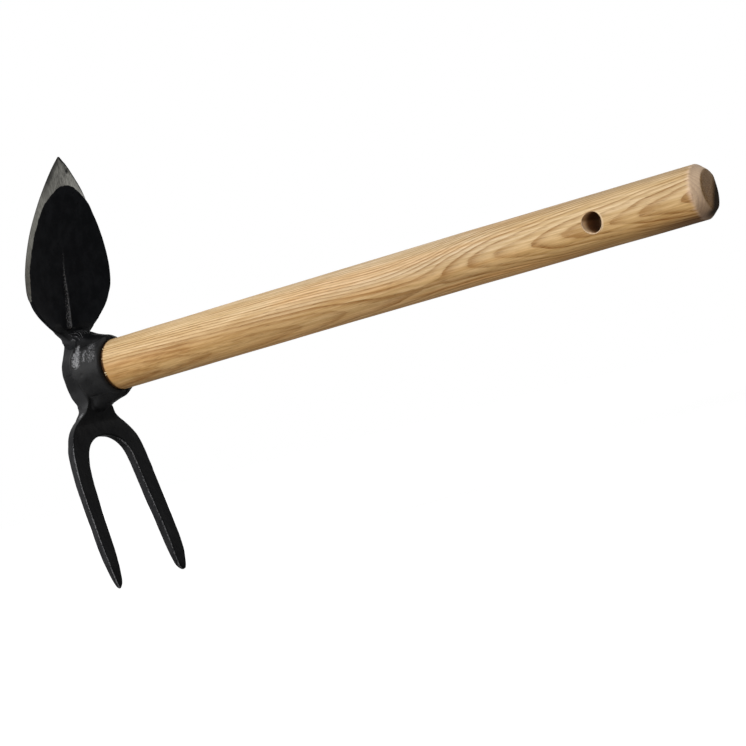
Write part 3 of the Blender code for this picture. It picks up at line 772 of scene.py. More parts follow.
def build_blade_weld(sizes, colors):
    """Make the scaly weld between the bar and the blade, with the mound that runs onto the collar."""
    plate = blade_plate(sizes)

    def plate_part(x, y, z):
        return np.maximum(plate(x, y, z), BLADE_SEAT[1] - 0.0008 - z)

    def mound(x, y, z):
        tops = ease_curve(x, MOUND_TOPS)
        half_width = ease_curve(x, MOUND_HALF_WIDTHS)
        body = round_corner(np.abs(y) - half_width, z - tops, MOUND_ROUNDING)
        return np.maximum(body, WELD_BACK - x)

    def reach(y):
        return PLATE_FILLET + WIDER_FILLET * smooth_step(np.abs(y), 0.0040, 0.0095)

    whole = weld_piece(sizes, eye_body(sizes), plate, eye_piece(sizes), plate_part, mound, reach)

    def distance(x, y, z):
        scales = RIPPLE_HEIGHT * (scale_wave(x, y, z) - 0.3) * scaly_part(x, y, z)
        low, high = BLADE_WELD_ENDS
        return np.maximum(whole(x, y, z) - scales, np.maximum(z - high, low - z))

    fine = sizes.cell * 0.8
    vertices, faces = surface_net(distance, *BLADE_WELD_REGION, fine)
    material = lacquer_material("weld_lacquer", colors, 1.7, 0.025)
    obj = head_piece("scaly_blade_weld", vertices, faces, material, sizes)
    place(obj, "blade_weld", "weld_steel")
    return obj


def build_fork_weld(sizes):
    """Make the weld between the bar and the fork's neck, with the gusset under the collar."""
    plate = fork_plate(sizes)

    def plate_part(x, y, z):
        return np.maximum(plate(x, y, z), z - FORK_SEAT[1])

    def gusset(x, y, z):
        bottoms = ease_curve(x, GUSSET_BOTTOMS)
        half_width = ease_curve(x, GUSSET_HALF_WIDTHS)
        body = round_corner(np.abs(y - GUSSET_ASIDE) - half_width, bottoms - z, GUSSET_ROUNDING)
        return np.maximum(body, WELD_BACK - x)

    def reach(y):
        return np.full_like(y, PLATE_FILLET)

    whole = weld_piece(sizes, eye_body(sizes), plate, eye_piece(sizes), plate_part, gusset, reach)

    def distance(x, y, z):
        low, high = FORK_WELD_ENDS
        return np.maximum(whole(x, y, z), np.maximum(low - z, z - high))

    vertices, faces = surface_net(distance, *FORK_WELD_REGION, sizes.cell)
    obj = head_piece("fork_neck_weld", vertices, faces, bpy.data.materials["weld_lacquer"], sizes)
    place(obj, "fork_weld", "weld_steel")
    return obj


# Half width of the heart at heights above its seat
BLADE_HALF_WIDTHS = (
    (-0.0060, 0.0076), (-0.0040, 0.0078), (-0.0020, 0.0088), (0.0000, 0.0115), (0.0020, 0.0151), (0.0040, 0.0188),
    (0.0060, 0.0218), (0.0080, 0.0246), (0.0100, 0.0270), (0.0125, 0.0298), (0.0150, 0.0320), (0.0175, 0.0339),
    (0.0200, 0.0353), (0.0250, 0.0375), (0.0300, 0.0381), (0.0350, 0.0380), (0.0400, 0.0373), (0.0450, 0.0361),
    (0.0500, 0.0345), (0.0600, 0.0304), (0.0700, 0.0247), (0.0800, 0.0180), (0.0900, 0.0101), (0.0940, 0.0066),
    (0.0970, 0.0037), (0.0990, 0.0016), (0.1003, 0.00030),
)
# How much fuller the right side of the heart is near its tip
BLADE_RIGHT_EXTRA = (
    (0.0000, 0.0000), (0.0620, 0.0000), (0.0700, 0.00015), (0.0750, 0.00087), (0.0800, 0.0015), (0.0850, 0.0016),
    (0.0900, 0.0015), (0.0940, 0.0014), (0.0960, 0.0011), (0.0980, 0.0008), (0.1003, 0.0005),
)
BLADE_TOP = 0.1003
# Outline of the lacquered area, as (y, height); what lies outside it is ground
LACQUERED = (
    (-0.0600, -0.0100), (-0.0600, 0.0190), (-0.0362, 0.0205), (-0.0360, 0.0250), (-0.0357, 0.0300), (-0.0355, 0.0355),
    (-0.0347, 0.0400), (-0.0337, 0.0445), (-0.0319, 0.0500), (-0.0297, 0.0552), (-0.0271, 0.0606), (-0.0240, 0.0659),
    (-0.0205, 0.0712), (-0.0182, 0.0739), (-0.0146, 0.0764), (-0.0105, 0.0790), (-0.0065, 0.0814), (-0.0022, 0.0833),
    (0.0025, 0.0840), (0.0066, 0.0836), (0.0105, 0.0822), (0.0140, 0.0799), (0.0174, 0.0774), (0.0208, 0.0742),
    (0.0240, 0.0702), (0.0275, 0.0655), (0.0400, 0.0600), (0.0600, 0.0600), (0.0600, -0.0100),
)
# The rib: its ends, half its width at the bottom, how much narrower it is at the top, and its bend
RIB_BOTTOM = 0.0030
RIB_TOP = 0.0500
RIB_HALF_WIDTH = 0.0034
RIB_NARROWING = 0.0018
RIB_BEND = -0.0014
# The plate: columns of points, distance from the tip over which the dish fades, and how far left it stands
BLADE_COLUMNS = 111
DISH_FADE = 0.066
BLADE_ASIDE = 0.00030
# The edge: thickness left by grinding, width of its rounding, and depth of that at the front and at the back
EDGE_FACE = 0.0005
EDGE_WIDTH = 0.0010
EDGE_DROP = 0.0009
EDGE_RISE = 0.0008
# Where lacquer gives way to steel the line wavers: depth, size of the waves, and seed
RAGGED_LINE = ((0.00028, 0.0040, 5), (0.00022, 0.0011, 6))
# What is painted on the plate's back: not ground, not worn, and no painted edge shade
BACK_VALUES = (-0.01, 0.0, 0.0)
# A small pit near the blade's tip: its place on the blade, and its reach and depth
PIT_PLACE = (0.0, 0.0067, 0.0916)
PIT_REACH = 0.0015
PIT_DEPTH = 0.0004


def curve_at(place, knots):
    """Return the height at one place of a smooth curve through (place, height) knots."""
    return float(ease_curve(np.array([place]), knots)[0])


def rib_shape(y, height, sizes):
    """Return how far the rib rises at a height above the seat, how near its crest is, and the share of its length."""
    along = np.clip((height - RIB_BOTTOM) / (RIB_TOP - RIB_BOTTOM), 0, 1)
    half_width = RIB_HALF_WIDTH - RIB_NARROWING * along
    middle = RIB_BEND * smooth_step(height, 0.018, 0.040)
    crest = np.clip(1 - np.abs(y - middle) / half_width, 0, 1) ** 1.25
    rise = sizes.rib_height * (1 - along) ** 0.85 * crest * np.clip((height - RIB_BOTTOM) / 0.0009, 0, 1)
    return rise, crest, along


def blade_wear(height, columns, inward, crest, along):
    """Return how worn the rib is, with a painted highlight along its crest, and how dark the painted shade along the
    left edge and at the tip is, at a height above the seat.
    """
    # The rib's root and crest are painted lighter: worn lacquer, with a painted highlight along the crest
    at_root = 0.46 * smooth_step(crest, 0.0, 0.3) * np.clip(1.3 - along * 1.7, 0, 1)
    on_crest = (0.62 + 0.30 * smooth_step(along, 0.30, 0.55)) * crest ** 2.4 * (1 - along ** 6)
    worn_and_lit = (at_root + on_crest) * (height > RIB_BOTTOM)
    # Painted shade: a dark band along the left edge near the tip, and at the tip itself
    edge_shade = (1 - smooth_step(inward, 0.0024, 0.0038)) * (0.50 + 0.35 * np.clip(1 - inward / 0.0025, 0, 1))
    edge_shade = edge_shade * (columns < 0) * smooth_step(height, 0.078, 0.089)
    edge_shade = np.maximum(edge_shade, 0.85 * smooth_step(height, 0.0958, 0.0985) * (1 - smooth_step(inward, 0.0006, 0.0016)))
    return worn_and_lit, edge_shade


def blade_section(height, sizes, columns):
    """Return the blade's front and back points at a height above its seat, and three values to paint in front."""
    half_width = curve_at(height, BLADE_HALF_WIDTHS)
    y = half_width * columns
    step = 0.0005
    slope = (curve_at(height + step, BLADE_HALF_WIDTHS) - half_width) / step
    inward = (half_width - np.abs(y)) / math.hypot(1.0, slope)
    y = y - BLADE_ASIDE * min(max(height / 0.02, 0.0), 1.0)
    y = y + curve_at(height, BLADE_RIGHT_EXTRA) * np.clip(columns, 0, 1)
    to_tip = min(1.0, (BLADE_TOP - height) / DISH_FADE)
    middle = -sizes.blade_dish * (1 - columns ** 2) * to_tip
    level = np.full_like(y, height)
    ground = polygon_distance(y, level, LACQUERED)
    share = np.clip(ground / np.maximum(ground + inward, 0.0004), 0, 1)
    drop = (sizes.blade_thickness - EDGE_FACE) * share
    edge = np.clip(1 - inward / EDGE_WIDTH, 0, 1) ** 2
    drop = np.maximum(drop, EDGE_DROP * edge)
    rise, crest, along = rib_shape(y, height, sizes)
    half = sizes.blade_thickness / 2
    front = np.stack([middle + half - drop + rise, y, level], axis=1)
    back = np.stack([middle - half + EDGE_RISE * edge, y, level], axis=1)
    line = np.stack([np.zeros_like(y), y, level], axis=1)
    ragged = sum(depth * soft_noise(line, size, seed) for depth, size, seed in RAGGED_LINE)
    return front, back, ground + ragged, *blade_wear(height, columns, inward, crest, along)


def build_blade(sizes, colors):
    """Make the dished heart plate with its rib and its ground edge."""
    t = np.linspace(-1, 1, BLADE_COLUMNS)
    # Columns lie closer together at the rib and at the edges
    columns = t - 0.55 * np.sin(2 * math.pi * t) / (2 * math.pi)
    heights = np.concatenate([np.linspace(-0.0015, 0.012, 30)[:-1], np.linspace(0.012, BLADE_TOP, 165)])
    rings, painted = [], []
    for height in heights:
        front, back, *values = blade_section(height, sizes, columns)
        rings.append(np.concatenate([front, back[::-1]]))
        painted.append([
            np.concatenate([value, np.full(BLADE_COLUMNS, rest)]) for value, rest in zip(values, BACK_VALUES)])
    vertices, faces = loft(rings)
    turn = np.array(Matrix.Rotation(sizes.blade_lean, 3, "Y"))
    seat = np.array([EYE_MOUTH_X + BLADE_SEAT[0], 0.0, BLADE_SEAT[1]])
    vertices = vertices @ turn.T + seat
    obj = mesh_object("heart_plate", vertices, faces, blade_material(colors), 50)
    flip_outward(obj)
    ground, worn_and_lit, edge_shade = (np.concatenate([row[i] for row in painted]) for i in range(3))
    forge(obj, sizes.forge_depth * np.where(ground > 0, 0.12, 1.0))
    points = points_of(obj)
    pit = np.array(PIT_PLACE) @ turn.T + seat
    pitted = np.exp(-(np.linalg.norm(points - pit, axis=1) / PIT_REACH) ** 4)
    move_points(obj, points - normals_of(obj) * (PIT_DEPTH * pitted)[:, None])
    paint(obj, "ground", ground)
    paint(obj, "rubbed_and_highlight", worn_and_lit)
    paint(obj, "dust_and_fill_light", np.full(len(points), 0.85))
    # The edge's band and the pit near the tip are painted dark as painted shade
    paint(obj, "edge_shade", np.maximum(edge_shade, pitted))
    place(obj, "heart_blade", "blade_steel")
    return obj


# Outline of the fork as (y, height) in millimetres: right side down, right inner side up, left inner side down,
# left side up
FORK_OUTLINE = (
    (9.4, 6.0), (11.2, 2.0), (13.0, 0.0), (15.3, -2.0), (17.8, -4.0), (20.4, -6.0), (22.7, -8.0), (24.6, -10.0),
    (26.3, -12.0), (27.9, -14.0), (29.4, -16.0), (30.5, -18.0), (31.2, -20.0), (32.0, -23.5), (32.6, -28.0),
    (33.0, -35.0), (33.3, -45.0), (33.8, -55.0), (34.4, -65.0), (34.7, -75.0), (34.9, -84.0), (34.7, -90.0),
    (33.9, -94.0), (33.1, -97.2), (32.2, -99.4), (31.1, -100.8), (29.8, -100.9), (28.2, -100.3), (26.5, -99.0),
    (25.1, -97.0), (24.5, -94.0), (24.1, -90.0), (23.6, -84.0), (23.2, -75.0), (22.4, -65.0), (21.5, -55.0),
    (20.8, -45.0), (20.3, -36.0), (19.7, -30.0), (18.9, -26.0), (17.5, -23.0), (15.3, -20.2), (12.4, -17.9),
    (8.6, -16.0), (4.2, -14.9), (0.0, -14.5), (-5.0, -14.9), (-9.4, -16.0), (-13.0, -18.0), (-15.5, -20.3),
    (-17.7, -23.2), (-19.3, -26.4), (-20.8, -30.0), (-22.1, -35.0), (-22.9, -40.0), (-24.1, -49.0), (-24.9, -58.0),
    (-25.3, -68.0), (-26.0, -78.0), (-26.8, -85.0), (-27.5, -91.0), (-28.1, -95.0), (-28.9, -98.0), (-29.8, -99.9),
    (-31.0, -100.8), (-32.7, -100.4), (-33.9, -98.8), (-34.8, -96.0), (-35.4, -92.0), (-35.9, -86.0), (-36.4, -78.0),
    (-36.5, -70.0), (-36.1, -60.0), (-36.0, -50.0), (-35.6, -43.0), (-34.8, -36.0), (-33.7, -30.0), (-32.3, -24.5),
    (-30.9, -20.0), (-29.1, -16.5), (-27.1, -13.0), (-24.9, -10.0), (-22.9, -8.0), (-20.4, -6.0), (-17.4, -4.0),
    (-13.8, -2.0), (-10.2, 0.0), (-7.6, 2.0), (-6.0, 6.0),
)
# Middle line of the tines and how it spreads downwards
TINE_MIDDLE = 0.0262
TINE_SPREAD = 0.06
# How much the sides lean: all of them, and the outer ones besides
SIDE_LEAN = 0.11
OUTER_LEAN = 0.29
# Extra thickness at the neck, where and how long the points are, and how much thinner they end
NECK_EXTRA = 0.0030
POINT_START = -0.0800
POINT_LENGTH = 0.0208
POINT_THINNING = 0.66
# Rounding of the corners: all of them, and the left ones in front besides
TINE_ROUNDING = 0.0008
LEFT_ROUNDING = 0.0006


def smooth_outline(points, steps=3):
    """Return a closed outline with more points, on a smooth curve through the given ones."""
    points = np.asarray(points)
    before, after, far = np.roll(points, 1, axis=0), np.roll(points, -1, axis=0), np.roll(points, -2, axis=0)
    result = []
    for share in np.arange(steps) / steps:
        result.append(0.5 * (
            2 * points + (after - before) * share
            + (2 * before - 5 * points + 4 * after - far) * share ** 2
            + (3 * points - before - 3 * after + far) * share ** 3
        ))
    return np.stack(result, axis=1).reshape(-1, 2)


def polygon_distance(u, v, polygon):
    """Return the signed distance in the plane to a closed outline, negative inside."""
    start = np.asarray(polygon)
    end = np.roll(start, -1, axis=0)
    nearest = np.full(u.shape, np.inf)
    inside = np.zeros(u.shape, dtype=bool)
    for (au, av), (bu, bv) in zip(start, end):
        du, dv = bu - au, bv - av
        t = np.clip(((u - au) * du + (v - av) * dv) / max(du * du + dv * dv, 1e-18), 0, 1)
        nearest = np.minimum(nearest, (u - au - t * du) ** 2 + (v - av - t * dv) ** 2)
        crosses = ((av > v) != (bv > v)) & (u < du * (v - av) / (dv if dv else 1e-18) + au)
        inside ^= crosses
    return np.where(inside, -1, 1) * np.sqrt(nearest)


def fork_shape(sizes):
    """Return the distance to the fork in its own leaning frame: across, y, height."""
    step = sizes.cell / 2
    us = np.arange(-0.0390, 0.0390, step)
    vs = np.arange(-0.1045, 0.0075, step)
    polygon = smooth_outline(FORK_OUTLINE) / 1000
    flat = polygon_distance(*np.meshgrid(us, vs, indexing="ij"), polygon)

    def plan(y, height):
        """Look the flat distance up between its grid points."""
        a = np.clip((y - us[0]) / step, 0, len(us) - 2)
        b = np.clip((height - vs[0]) / step, 0, len(vs) - 2)
        i, j = a.astype(int), b.astype(int)
        fa, fb = np.clip(a - i, 0, 1), np.clip(b - j, 0, 1)
        low_side = flat[i, j] * (1 - fa) + flat[i + 1, j] * fa
        high_side = flat[i, j + 1] * (1 - fa) + flat[i + 1, j + 1] * fa
        return low_side * (1 - fb) + high_side * fb

    half = sizes.tine_thickness / 2

    def distance(across, y, height):
        middle_line = TINE_MIDDLE + TINE_SPREAD * np.clip(-height - 0.030, 0.0, 0.060)
        outer = smooth_step(np.abs(y) - middle_line, -0.0012, 0.0012)
        leftward = np.where(y < 0, outer, 1 - outer)
        side = plan(y, height) - (SIDE_LEAN + OUTER_LEAN * outer * smooth_step(-height, 0.014, 0.045)) * across
        neck = NECK_EXTRA * np.clip(1 + height / 0.0070, 0, 1) ** 1.5
        point = np.clip((POINT_START - height) / POINT_LENGTH, 0, 1)
        thick = half * (1 - POINT_THINNING * point ** 1.6)
        middle = -half + neck / 2
        plate = np.abs(across - middle) - thick - neck / 2
        near_front = smooth_step(across, -0.0035, -0.0020)
        corner = TINE_ROUNDING + LEFT_ROUNDING * leftward * near_front * smooth_step(-height, 0.014, 0.030)
        return round_corner(side, plate, corner)
    return distance


def fork_plate(sizes):
    """Return the distance to the fork in the head's frame."""
    shape = fork_shape(sizes)

    def distance(x, y, z):
        across, height = leaning(FORK_SEAT, sizes.fork_lean, x, z)
        return shape(across, y, height)
    return distance


def build_fork(sizes, colors):
    """Make the forged fork with its two pointed tines."""
    shape = fork_shape(sizes)

    def distance(x, y, z):
        return np.maximum(shape(x, y, z), z - FORK_TOP)

    vertices, faces = surface_net(distance, *FORK_REGION, sizes.cell)
    turn = np.array(Matrix.Rotation(sizes.fork_lean, 3, "Y"))
    vertices = vertices @ turn.T + np.array([FORK_SEAT[0], 0.0, FORK_SEAT[1]])
    obj = head_piece("two_tine_fork", vertices, faces, lacquer_material("fork_lacquer", colors, 1.0, 0.035), sizes)
    normals = normals_of(obj)
    # Faces turned sideways are painted lighter: worn lacquer, and a painted sheen from the lamps at the side
    sides = np.clip((np.abs(normals[:, 1]) - 0.55) / 0.35, 0, 1)
    patches = soft_noise(vertices * np.array([1.0, 1.0, 0.4]), 0.0016, 7)
    paint(obj, "worn_and_lit_side", sides * (0.22 + 0.12 * patches))
    # Painted highlight along the crease between the side and the front of the tines, weaker on the right tine
    facet = np.exp(-((normals[:, 1] + 0.66) / 0.24) ** 2) * (normals[:, 0] > 0.1)
    crease_highlight = facet * smooth_step(-vertices[:, 2], 0.030, 0.045)
    highlight_strength = 1.26 + 0.25 * soft_noise(vertices * np.array([1.0, 1.0, 0.3]), 0.0030, 8) - 0.34 * (vertices[:, 1] > 0)
    rubbed_and_highlight = obj.data.attributes["rubbed_and_highlight"]
    rubbed_and_highlight.data.foreach_set("value", np.maximum(rubbed_and_highlight_places(vertices), crease_highlight * highlight_strength).astype(np.float32))
    place(obj, "fork", "lacquered_steel")
    return obj


# Sections of the wedge, as (share of its length, size), the share it thins by, and its corners' rounding
WEDGE_SECTIONS = ((0.0, 0.90), (0.012, 1.0), (0.25, 1.0), (0.5, 1.0), (0.75, 1.0), (1.0, 0.98))
WEDGE_THINNING = 0.78
WEDGE_ROUNDING = 0.3


def build_wedge(colors):
    """Make the steel wedge in the head end of the stick."""
    low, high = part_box("eye_wedge")
    middle = (low + high) / 2
    half = (high - low) / 2
    rings = []
    for share, shrink in WEDGE_SECTIONS:
        thickness = half.y * (1 - WEDGE_THINNING * share) * shrink
        height = half.z * shrink
        corner = thickness * WEDGE_ROUNDING
        ring = []
        for sy, sz, first in ((1, 1, 0), (-1, 1, 90), (-1, -1, 180), (1, -1, 270)):
            for angle in (first, first + 45, first + 90):
                ring.append((
                    low.x + TENON_SHORTER + share * 2 * half.x,
                    sy * (thickness - corner) + corner * math.cos(math.radians(angle)),
                    middle.z + sz * (height - corner) + corner * math.sin(math.radians(angle)),
                ))
        rings.append(ring)
    vertices, faces = loft(rings)
    obj = mesh_object("steel_wedge", vertices, faces, wedge_material(colors))
    flip_outward(obj)
    place(obj, "eye_wedge", "wedge_steel")
    return obj


# ---- Materials ----

# Grey of bare faces on the head, also painted as light on faces turned to the lamps, and the bluish tint of the
# blade's lacquer
WORN_AND_LIT_GREY = (0.070, 0.070, 0.073)
BLADE_TINT = (1.0, 1.07, 1.19)


def add_node(tree, kind, inputs=None, **settings):
    """Add a node; inputs are values or sockets by name or number."""
    node = tree.nodes.new(kind)
    for key, value in settings.items():
        setattr(node, key, value)
    for key, value in (inputs or {}).items():
        if isinstance(value, bpy.types.NodeSocket):
            tree.links.new(value, node.inputs[key])
        else:
            node.inputs[key].default_value = value
    return node


def math_node(tree, operation, a, b=0.0, c=0.0, clamp=False):
    """Return the output of a Math node."""
    node = add_node(tree, "ShaderNodeMath", {0: a, 1: b, 2: c}, operation=operation, use_clamp=clamp)
    return node.outputs[0]


def mix_color(tree, factor, a, b, blend="MIX"):
    """Return the output of a colour Mix node."""
    def color(value):
        return value if isinstance(value, bpy.types.NodeSocket) else (*value, 1.0)
    node = add_node(tree, "ShaderNodeMix", {0: factor, 6: color(a), 7: color(b)}, data_type="RGBA", blend_type=blend)
    return node.outputs[2]


def mix_value(tree, factor, a, b):
    """Return the output of a value Mix node."""
    node = add_node(tree, "ShaderNodeMix", {0: factor, 2: a, 3: b}, data_type="FLOAT")
    return node.outputs[0]


def ramp(tree, value, low, high):
    """Return a value mapped smoothly from low..high to 0..1."""
    node = add_node(
        tree, "ShaderNodeMapRange", {0: value, 1: low, 2: high}, clamp=True, interpolation_type="SMOOTHSTEP")
    return node.outputs[0]


def noise(tree, vector, scale, detail=2.0, roughness=0.5):
    """Return the value of a Noise node."""
    inputs = {"Vector": vector, "Scale": scale, "Detail": detail, "Roughness": roughness}
    return add_node(tree, "ShaderNodeTexNoise", inputs).outputs[0]


def stretched(tree, vector, scale):
    """Return a vector scaled on each axis."""
    node = add_node(tree, "ShaderNodeVectorMath", {0: vector, 1: scale}, operation="MULTIPLY")
    return node.outputs[0]


def times(tree, *values):
    """Return the product of two or more values or sockets."""
    result = values[0]
    for value in values[1:]:
        result = math_node(tree, "MULTIPLY", result, value)
    return result


def tinted(tree, factor, color, tint):
    """Return a colour multiplied by a tint where the factor is one."""
    return mix_color(tree, factor, color, tint, "MULTIPLY")


def scaled(color, share):
    """Return a plain colour multiplied by a number."""
    return tuple(c * share for c in color)


def object_point(tree):
    """Return the object coordinates."""
    return add_node(tree, "ShaderNodeTexCoord").outputs["Object"]


def attribute(tree, name):
    """Return the value that the mesh code painted."""
    return add_node(tree, "ShaderNodeAttribute", attribute_name=name).outputs["Fac"]


def new_material(name):
    """Return a material, its node tree and its Principled shader."""
    material = bpy.data.materials.new(name)
    material.use_nodes = True
    return material, material.node_tree, material.node_tree.nodes["Principled BSDF"]


def wire_surface(tree, shader, color, rough, gloss, height, bump_strength, bump_distance):
    """Link colour, roughness and bump to a shader, and set its gloss."""
    tree.links.new(color, shader.inputs["Base Color"])
    tree.links.new(rough, shader.inputs["Roughness"])
    shader.inputs["Specular IOR Level"].default_value = gloss
    bump = add_node(tree, "ShaderNodeBump", {"Strength": bump_strength, "Distance": bump_distance, "Height": height})
    tree.links.new(bump.outputs[0], shader.inputs["Normal"])


def new_group(name, inputs, outputs):
    """Return a shader node group with named sockets, its input sockets and its output node."""
    group = bpy.data.node_groups.new(name, "ShaderNodeTree")
    for label, kind, default in inputs:
        socket = group.interface.new_socket(label, in_out="INPUT", socket_type=kind)
        if default is not None:
            socket.default_value = default
    for label, kind in outputs:
        group.interface.new_socket(label, in_out="OUTPUT", socket_type=kind)
    return group, group.nodes.new("NodeGroupInput").outputs, group.nodes.new("NodeGroupOutput")


def use_group(tree, group, inputs):
    """Place a node group in a tree."""
    return add_node(tree, "ShaderNodeGroup", inputs, node_tree=group)


def lacquer_group(colors):
    """Node group of black lacquer on forged steel: cloudy and pitted, and dusty or rubbed thin as its inputs say;
    those inputs also carry painted fill light and painted highlights.
    """
    if "black_lacquer" in bpy.data.node_groups:
        return bpy.data.node_groups["black_lacquer"]
    group, given, made = new_group(
        "black_lacquer",
        [
            ("Point", "NodeSocketVector", None), ("Coarseness", "NodeSocketFloat", 1.0),
            ("Rubbed and highlight", "NodeSocketFloat", 0.0), ("Dust and fill light", "NodeSocketFloat", 0.0),
            ("Tint", "NodeSocketColor", (1.0, 1.0, 1.0, 1.0)),
        ],
        [("Color", "NodeSocketColor"), ("Roughness", "NodeSocketFloat"), ("Height", "NodeSocketFloat")],
    )
    point, rubbed_and_highlight = given["Point"], given["Rubbed and highlight"]
    broad = noise(group, point, 140.0, 4.0, 0.6)
    grain = noise(group, point, 900.0, 3.0, 0.6)
    cells = add_node(group, "ShaderNodeTexVoronoi", {"Vector": point, "Scale": 420.0, "Randomness": 1.0})
    gate = ramp(group, noise(group, point, 260.0, 2.0), 0.52, 0.68)
    pits = times(group, ramp(group, cells.outputs["Distance"], 0.30, 0.05), gate)
    height = math_node(group, "MULTIPLY_ADD", grain, 0.5, times(group, broad, 0.8))
    height = math_node(group, "SUBTRACT", height, times(group, pits, 0.8))

    cloud = ramp(group, broad, 0.35, 0.7)
    patchy = noise(group, point, 1500.0, 2.0, 0.7)
    # Grey where the lacquer is rubbed thin and where highlights are painted
    thin_and_lit = ramp(group, math_node(group, "MULTIPLY_ADD", patchy, 3.4, rubbed_and_highlight), 2.00, 3.05)
    thin_and_lit = times(group, thin_and_lit, ramp(group, rubbed_and_highlight, 0.02, 0.30))
    color = mix_color(group, given["Dust and fill light"], tuple(colors.lacquer), tuple(colors.dusty_and_lit))
    color = tinted(group, 1.0, tinted(group, 1.0, color, given["Tint"]), mix_value(group, cloud, 0.82, 1.36))
    color = mix_color(group, pits, color, scaled(colors.lacquer, 0.5))
    color = mix_color(group, thin_and_lit, color, tuple(colors.rubbed_and_highlight))
    rough = mix_value(group, thin_and_lit, mix_value(group, cloud, 0.36, 0.50), 0.40)
    group.links.new(color, made.inputs["Color"])
    group.links.new(rough, made.inputs["Roughness"])
    group.links.new(times(group, height, given["Coarseness"]), made.inputs["Height"])
    return group


def scratch_group():
    """Node group of ground steel: long scratches along one axis."""
    if "grinding" in bpy.data.node_groups:
        return bpy.data.node_groups["grinding"]
    group, given, made = new_group(
        "grinding",
        [("Point", "NodeSocketVector", None), ("Stretch", "NodeSocketVector", None)],
        [("Tone", "NodeSocketFloat"), ("Height", "NodeSocketFloat")],
    )
    fine = noise(group, stretched(group, given["Point"], given["Stretch"]), 1.0, 3.0, 0.65)
    broad = noise(group, given["Point"], 160.0, 2.0)
    tone = math_node(group, "MULTIPLY_ADD", fine, 0.7, times(group, broad, 0.3))
    group.links.new(tone, made.inputs["Tone"])
    group.links.new(fine, made.inputs["Height"])
    return group


def lacquer_surface(tree, colors, coarseness, tint=(1.0, 1.0, 1.0)):
    """Return the colour, roughness and height of the lacquer, dusty or rubbed where the mesh code painted it so, with
    painted fill light and painted highlights among those marks.
    """
    lacquer = use_group(tree, lacquer_group(colors), {
        "Point": object_point(tree), "Coarseness": coarseness, "Tint": (*tint, 1.0),
        "Rubbed and highlight": attribute(tree, "rubbed_and_highlight"), "Dust and fill light": attribute(tree, "dust_and_fill_light"),
    })
    return lacquer.outputs["Color"], lacquer.outputs["Roughness"], lacquer.outputs["Height"]


def lacquer_material(name, colors, coarseness, gloss):
    """Black lacquer on forged steel, worn to grey where the mesh code painted bare faces, and grey where it painted
    light on faces turned to the lamps.
    """
    material, tree, shader = new_material(name)
    color, rough, height = lacquer_surface(tree, colors, coarseness)
    worn_and_lit = math_node(tree, "ADD", attribute(tree, "worn_and_lit_side"), attribute(tree, "bare_and_lit_side"), clamp=True)
    color = mix_color(tree, worn_and_lit, color, WORN_AND_LIT_GREY)
    wire_surface(tree, shader, color, rough, gloss, height, 0.45, 0.0003)
    return material


def blade_material(colors):
    """Black lacquer that gives way to ground steel along the edge; the steel carries painted shade towards its left
    side and along the edge.
    """
    material, tree, shader = new_material("blade_lacquer_and_steel")
    color, rough, height = lacquer_surface(tree, colors, 0.7, BLADE_TINT)
    point = object_point(tree)
    bare = ramp(tree, attribute(tree, "ground"), 0.0, 0.0003)
    grind = use_group(tree, scratch_group(), {"Point": point, "Stretch": (2400.0, 2400.0, 170.0)})
    tone = ramp(tree, grind.outputs["Tone"], 0.35, 0.65)
    metal = mix_color(tree, tone, scaled(colors.steel, 0.46), scaled(colors.steel, 1.6))
    # Painted shade: the ground steel is darker towards the left side
    across = add_node(tree, "ShaderNodeSeparateXYZ", {0: point}).outputs["Y"]
    left = times(tree, ramp(tree, across, 0.004, -0.016), 0.55)
    metal = mix_color(tree, left, metal, scaled(colors.steel, 0.70))
    # Painted shade along the edge and in the pit
    metal = mix_color(tree, attribute(tree, "edge_shade"), metal, scaled(colors.steel, 0.12))
    color = mix_color(tree, bare, color, metal)
    rough = mix_value(tree, bare, rough, 0.40)
    height = mix_value(tree, bare, height, grind.outputs["Height"])
    wire_surface(tree, shader, color, rough, 0.012, height, 0.3, 0.0002)
    tree.links.new(bare, shader.inputs["Metallic"])
    return material


def wedge_material(colors):
    """Plain worn steel."""
    material, tree, shader = new_material("wedge_steel_worn")
    stretch = (300.0, 1800.0, 500.0)
    grind = use_group(tree, scratch_group(), {"Point": object_point(tree), "Stretch": stretch})
    tone = ramp(tree, grind.outputs["Tone"], 0.3, 0.7)
    color = mix_color(tree, tone, scaled(colors.steel, 0.6), scaled(colors.steel, 1.2))
    wire_surface(tree, shader, color, mix_value(tree, tone, 0.55, 0.38), 0.5, grind.outputs["Height"], 0.3, 0.0002)
    shader.inputs["Metallic"].default_value = 1.0
    return material


# Colours and tints of the wood; among them painted shade under the stick, on the chamfer's underside, deep in the hole
# and in the gap at the eye, and painted light on the hole's wall
STREAK_TINT = (0.80, 0.73, 0.60)
WARM_TINT = (1.02, 0.86, 0.68)
FIBRE_TINT = (0.82, 0.78, 0.70)
UNDERSIDE_SHADE = (0.96, 0.83, 0.62)
END_FACE_UPPER = (0.25, 0.122, 0.038)
END_FACE_LOWER = (0.34, 0.195, 0.092)
SPECKLE_TINT = (0.66, 0.62, 0.56)
SANDED_COLOR = (0.84, 0.62, 0.46)
SANDED_UNDERSIDE_SHADE = (0.62, 0.58, 0.54)
DARK_CORNER_COLOR = (0.010, 0.008, 0.006)
RIM_CHIP_COLOR = (0.95, 0.80, 0.58)
HOLE_WALL_LIGHT = (0.95, 0.72, 0.48)
HOLE_DEEP_SHADE = (0.26, 0.18, 0.12)
HOLE_RIM_TINT = (0.42, 0.34, 0.26)
MOUTH_GAP_SHADOW = (0.085, 0.030, 0.010)
SPLINTER_COLOR = (0.93, 0.78, 0.50)
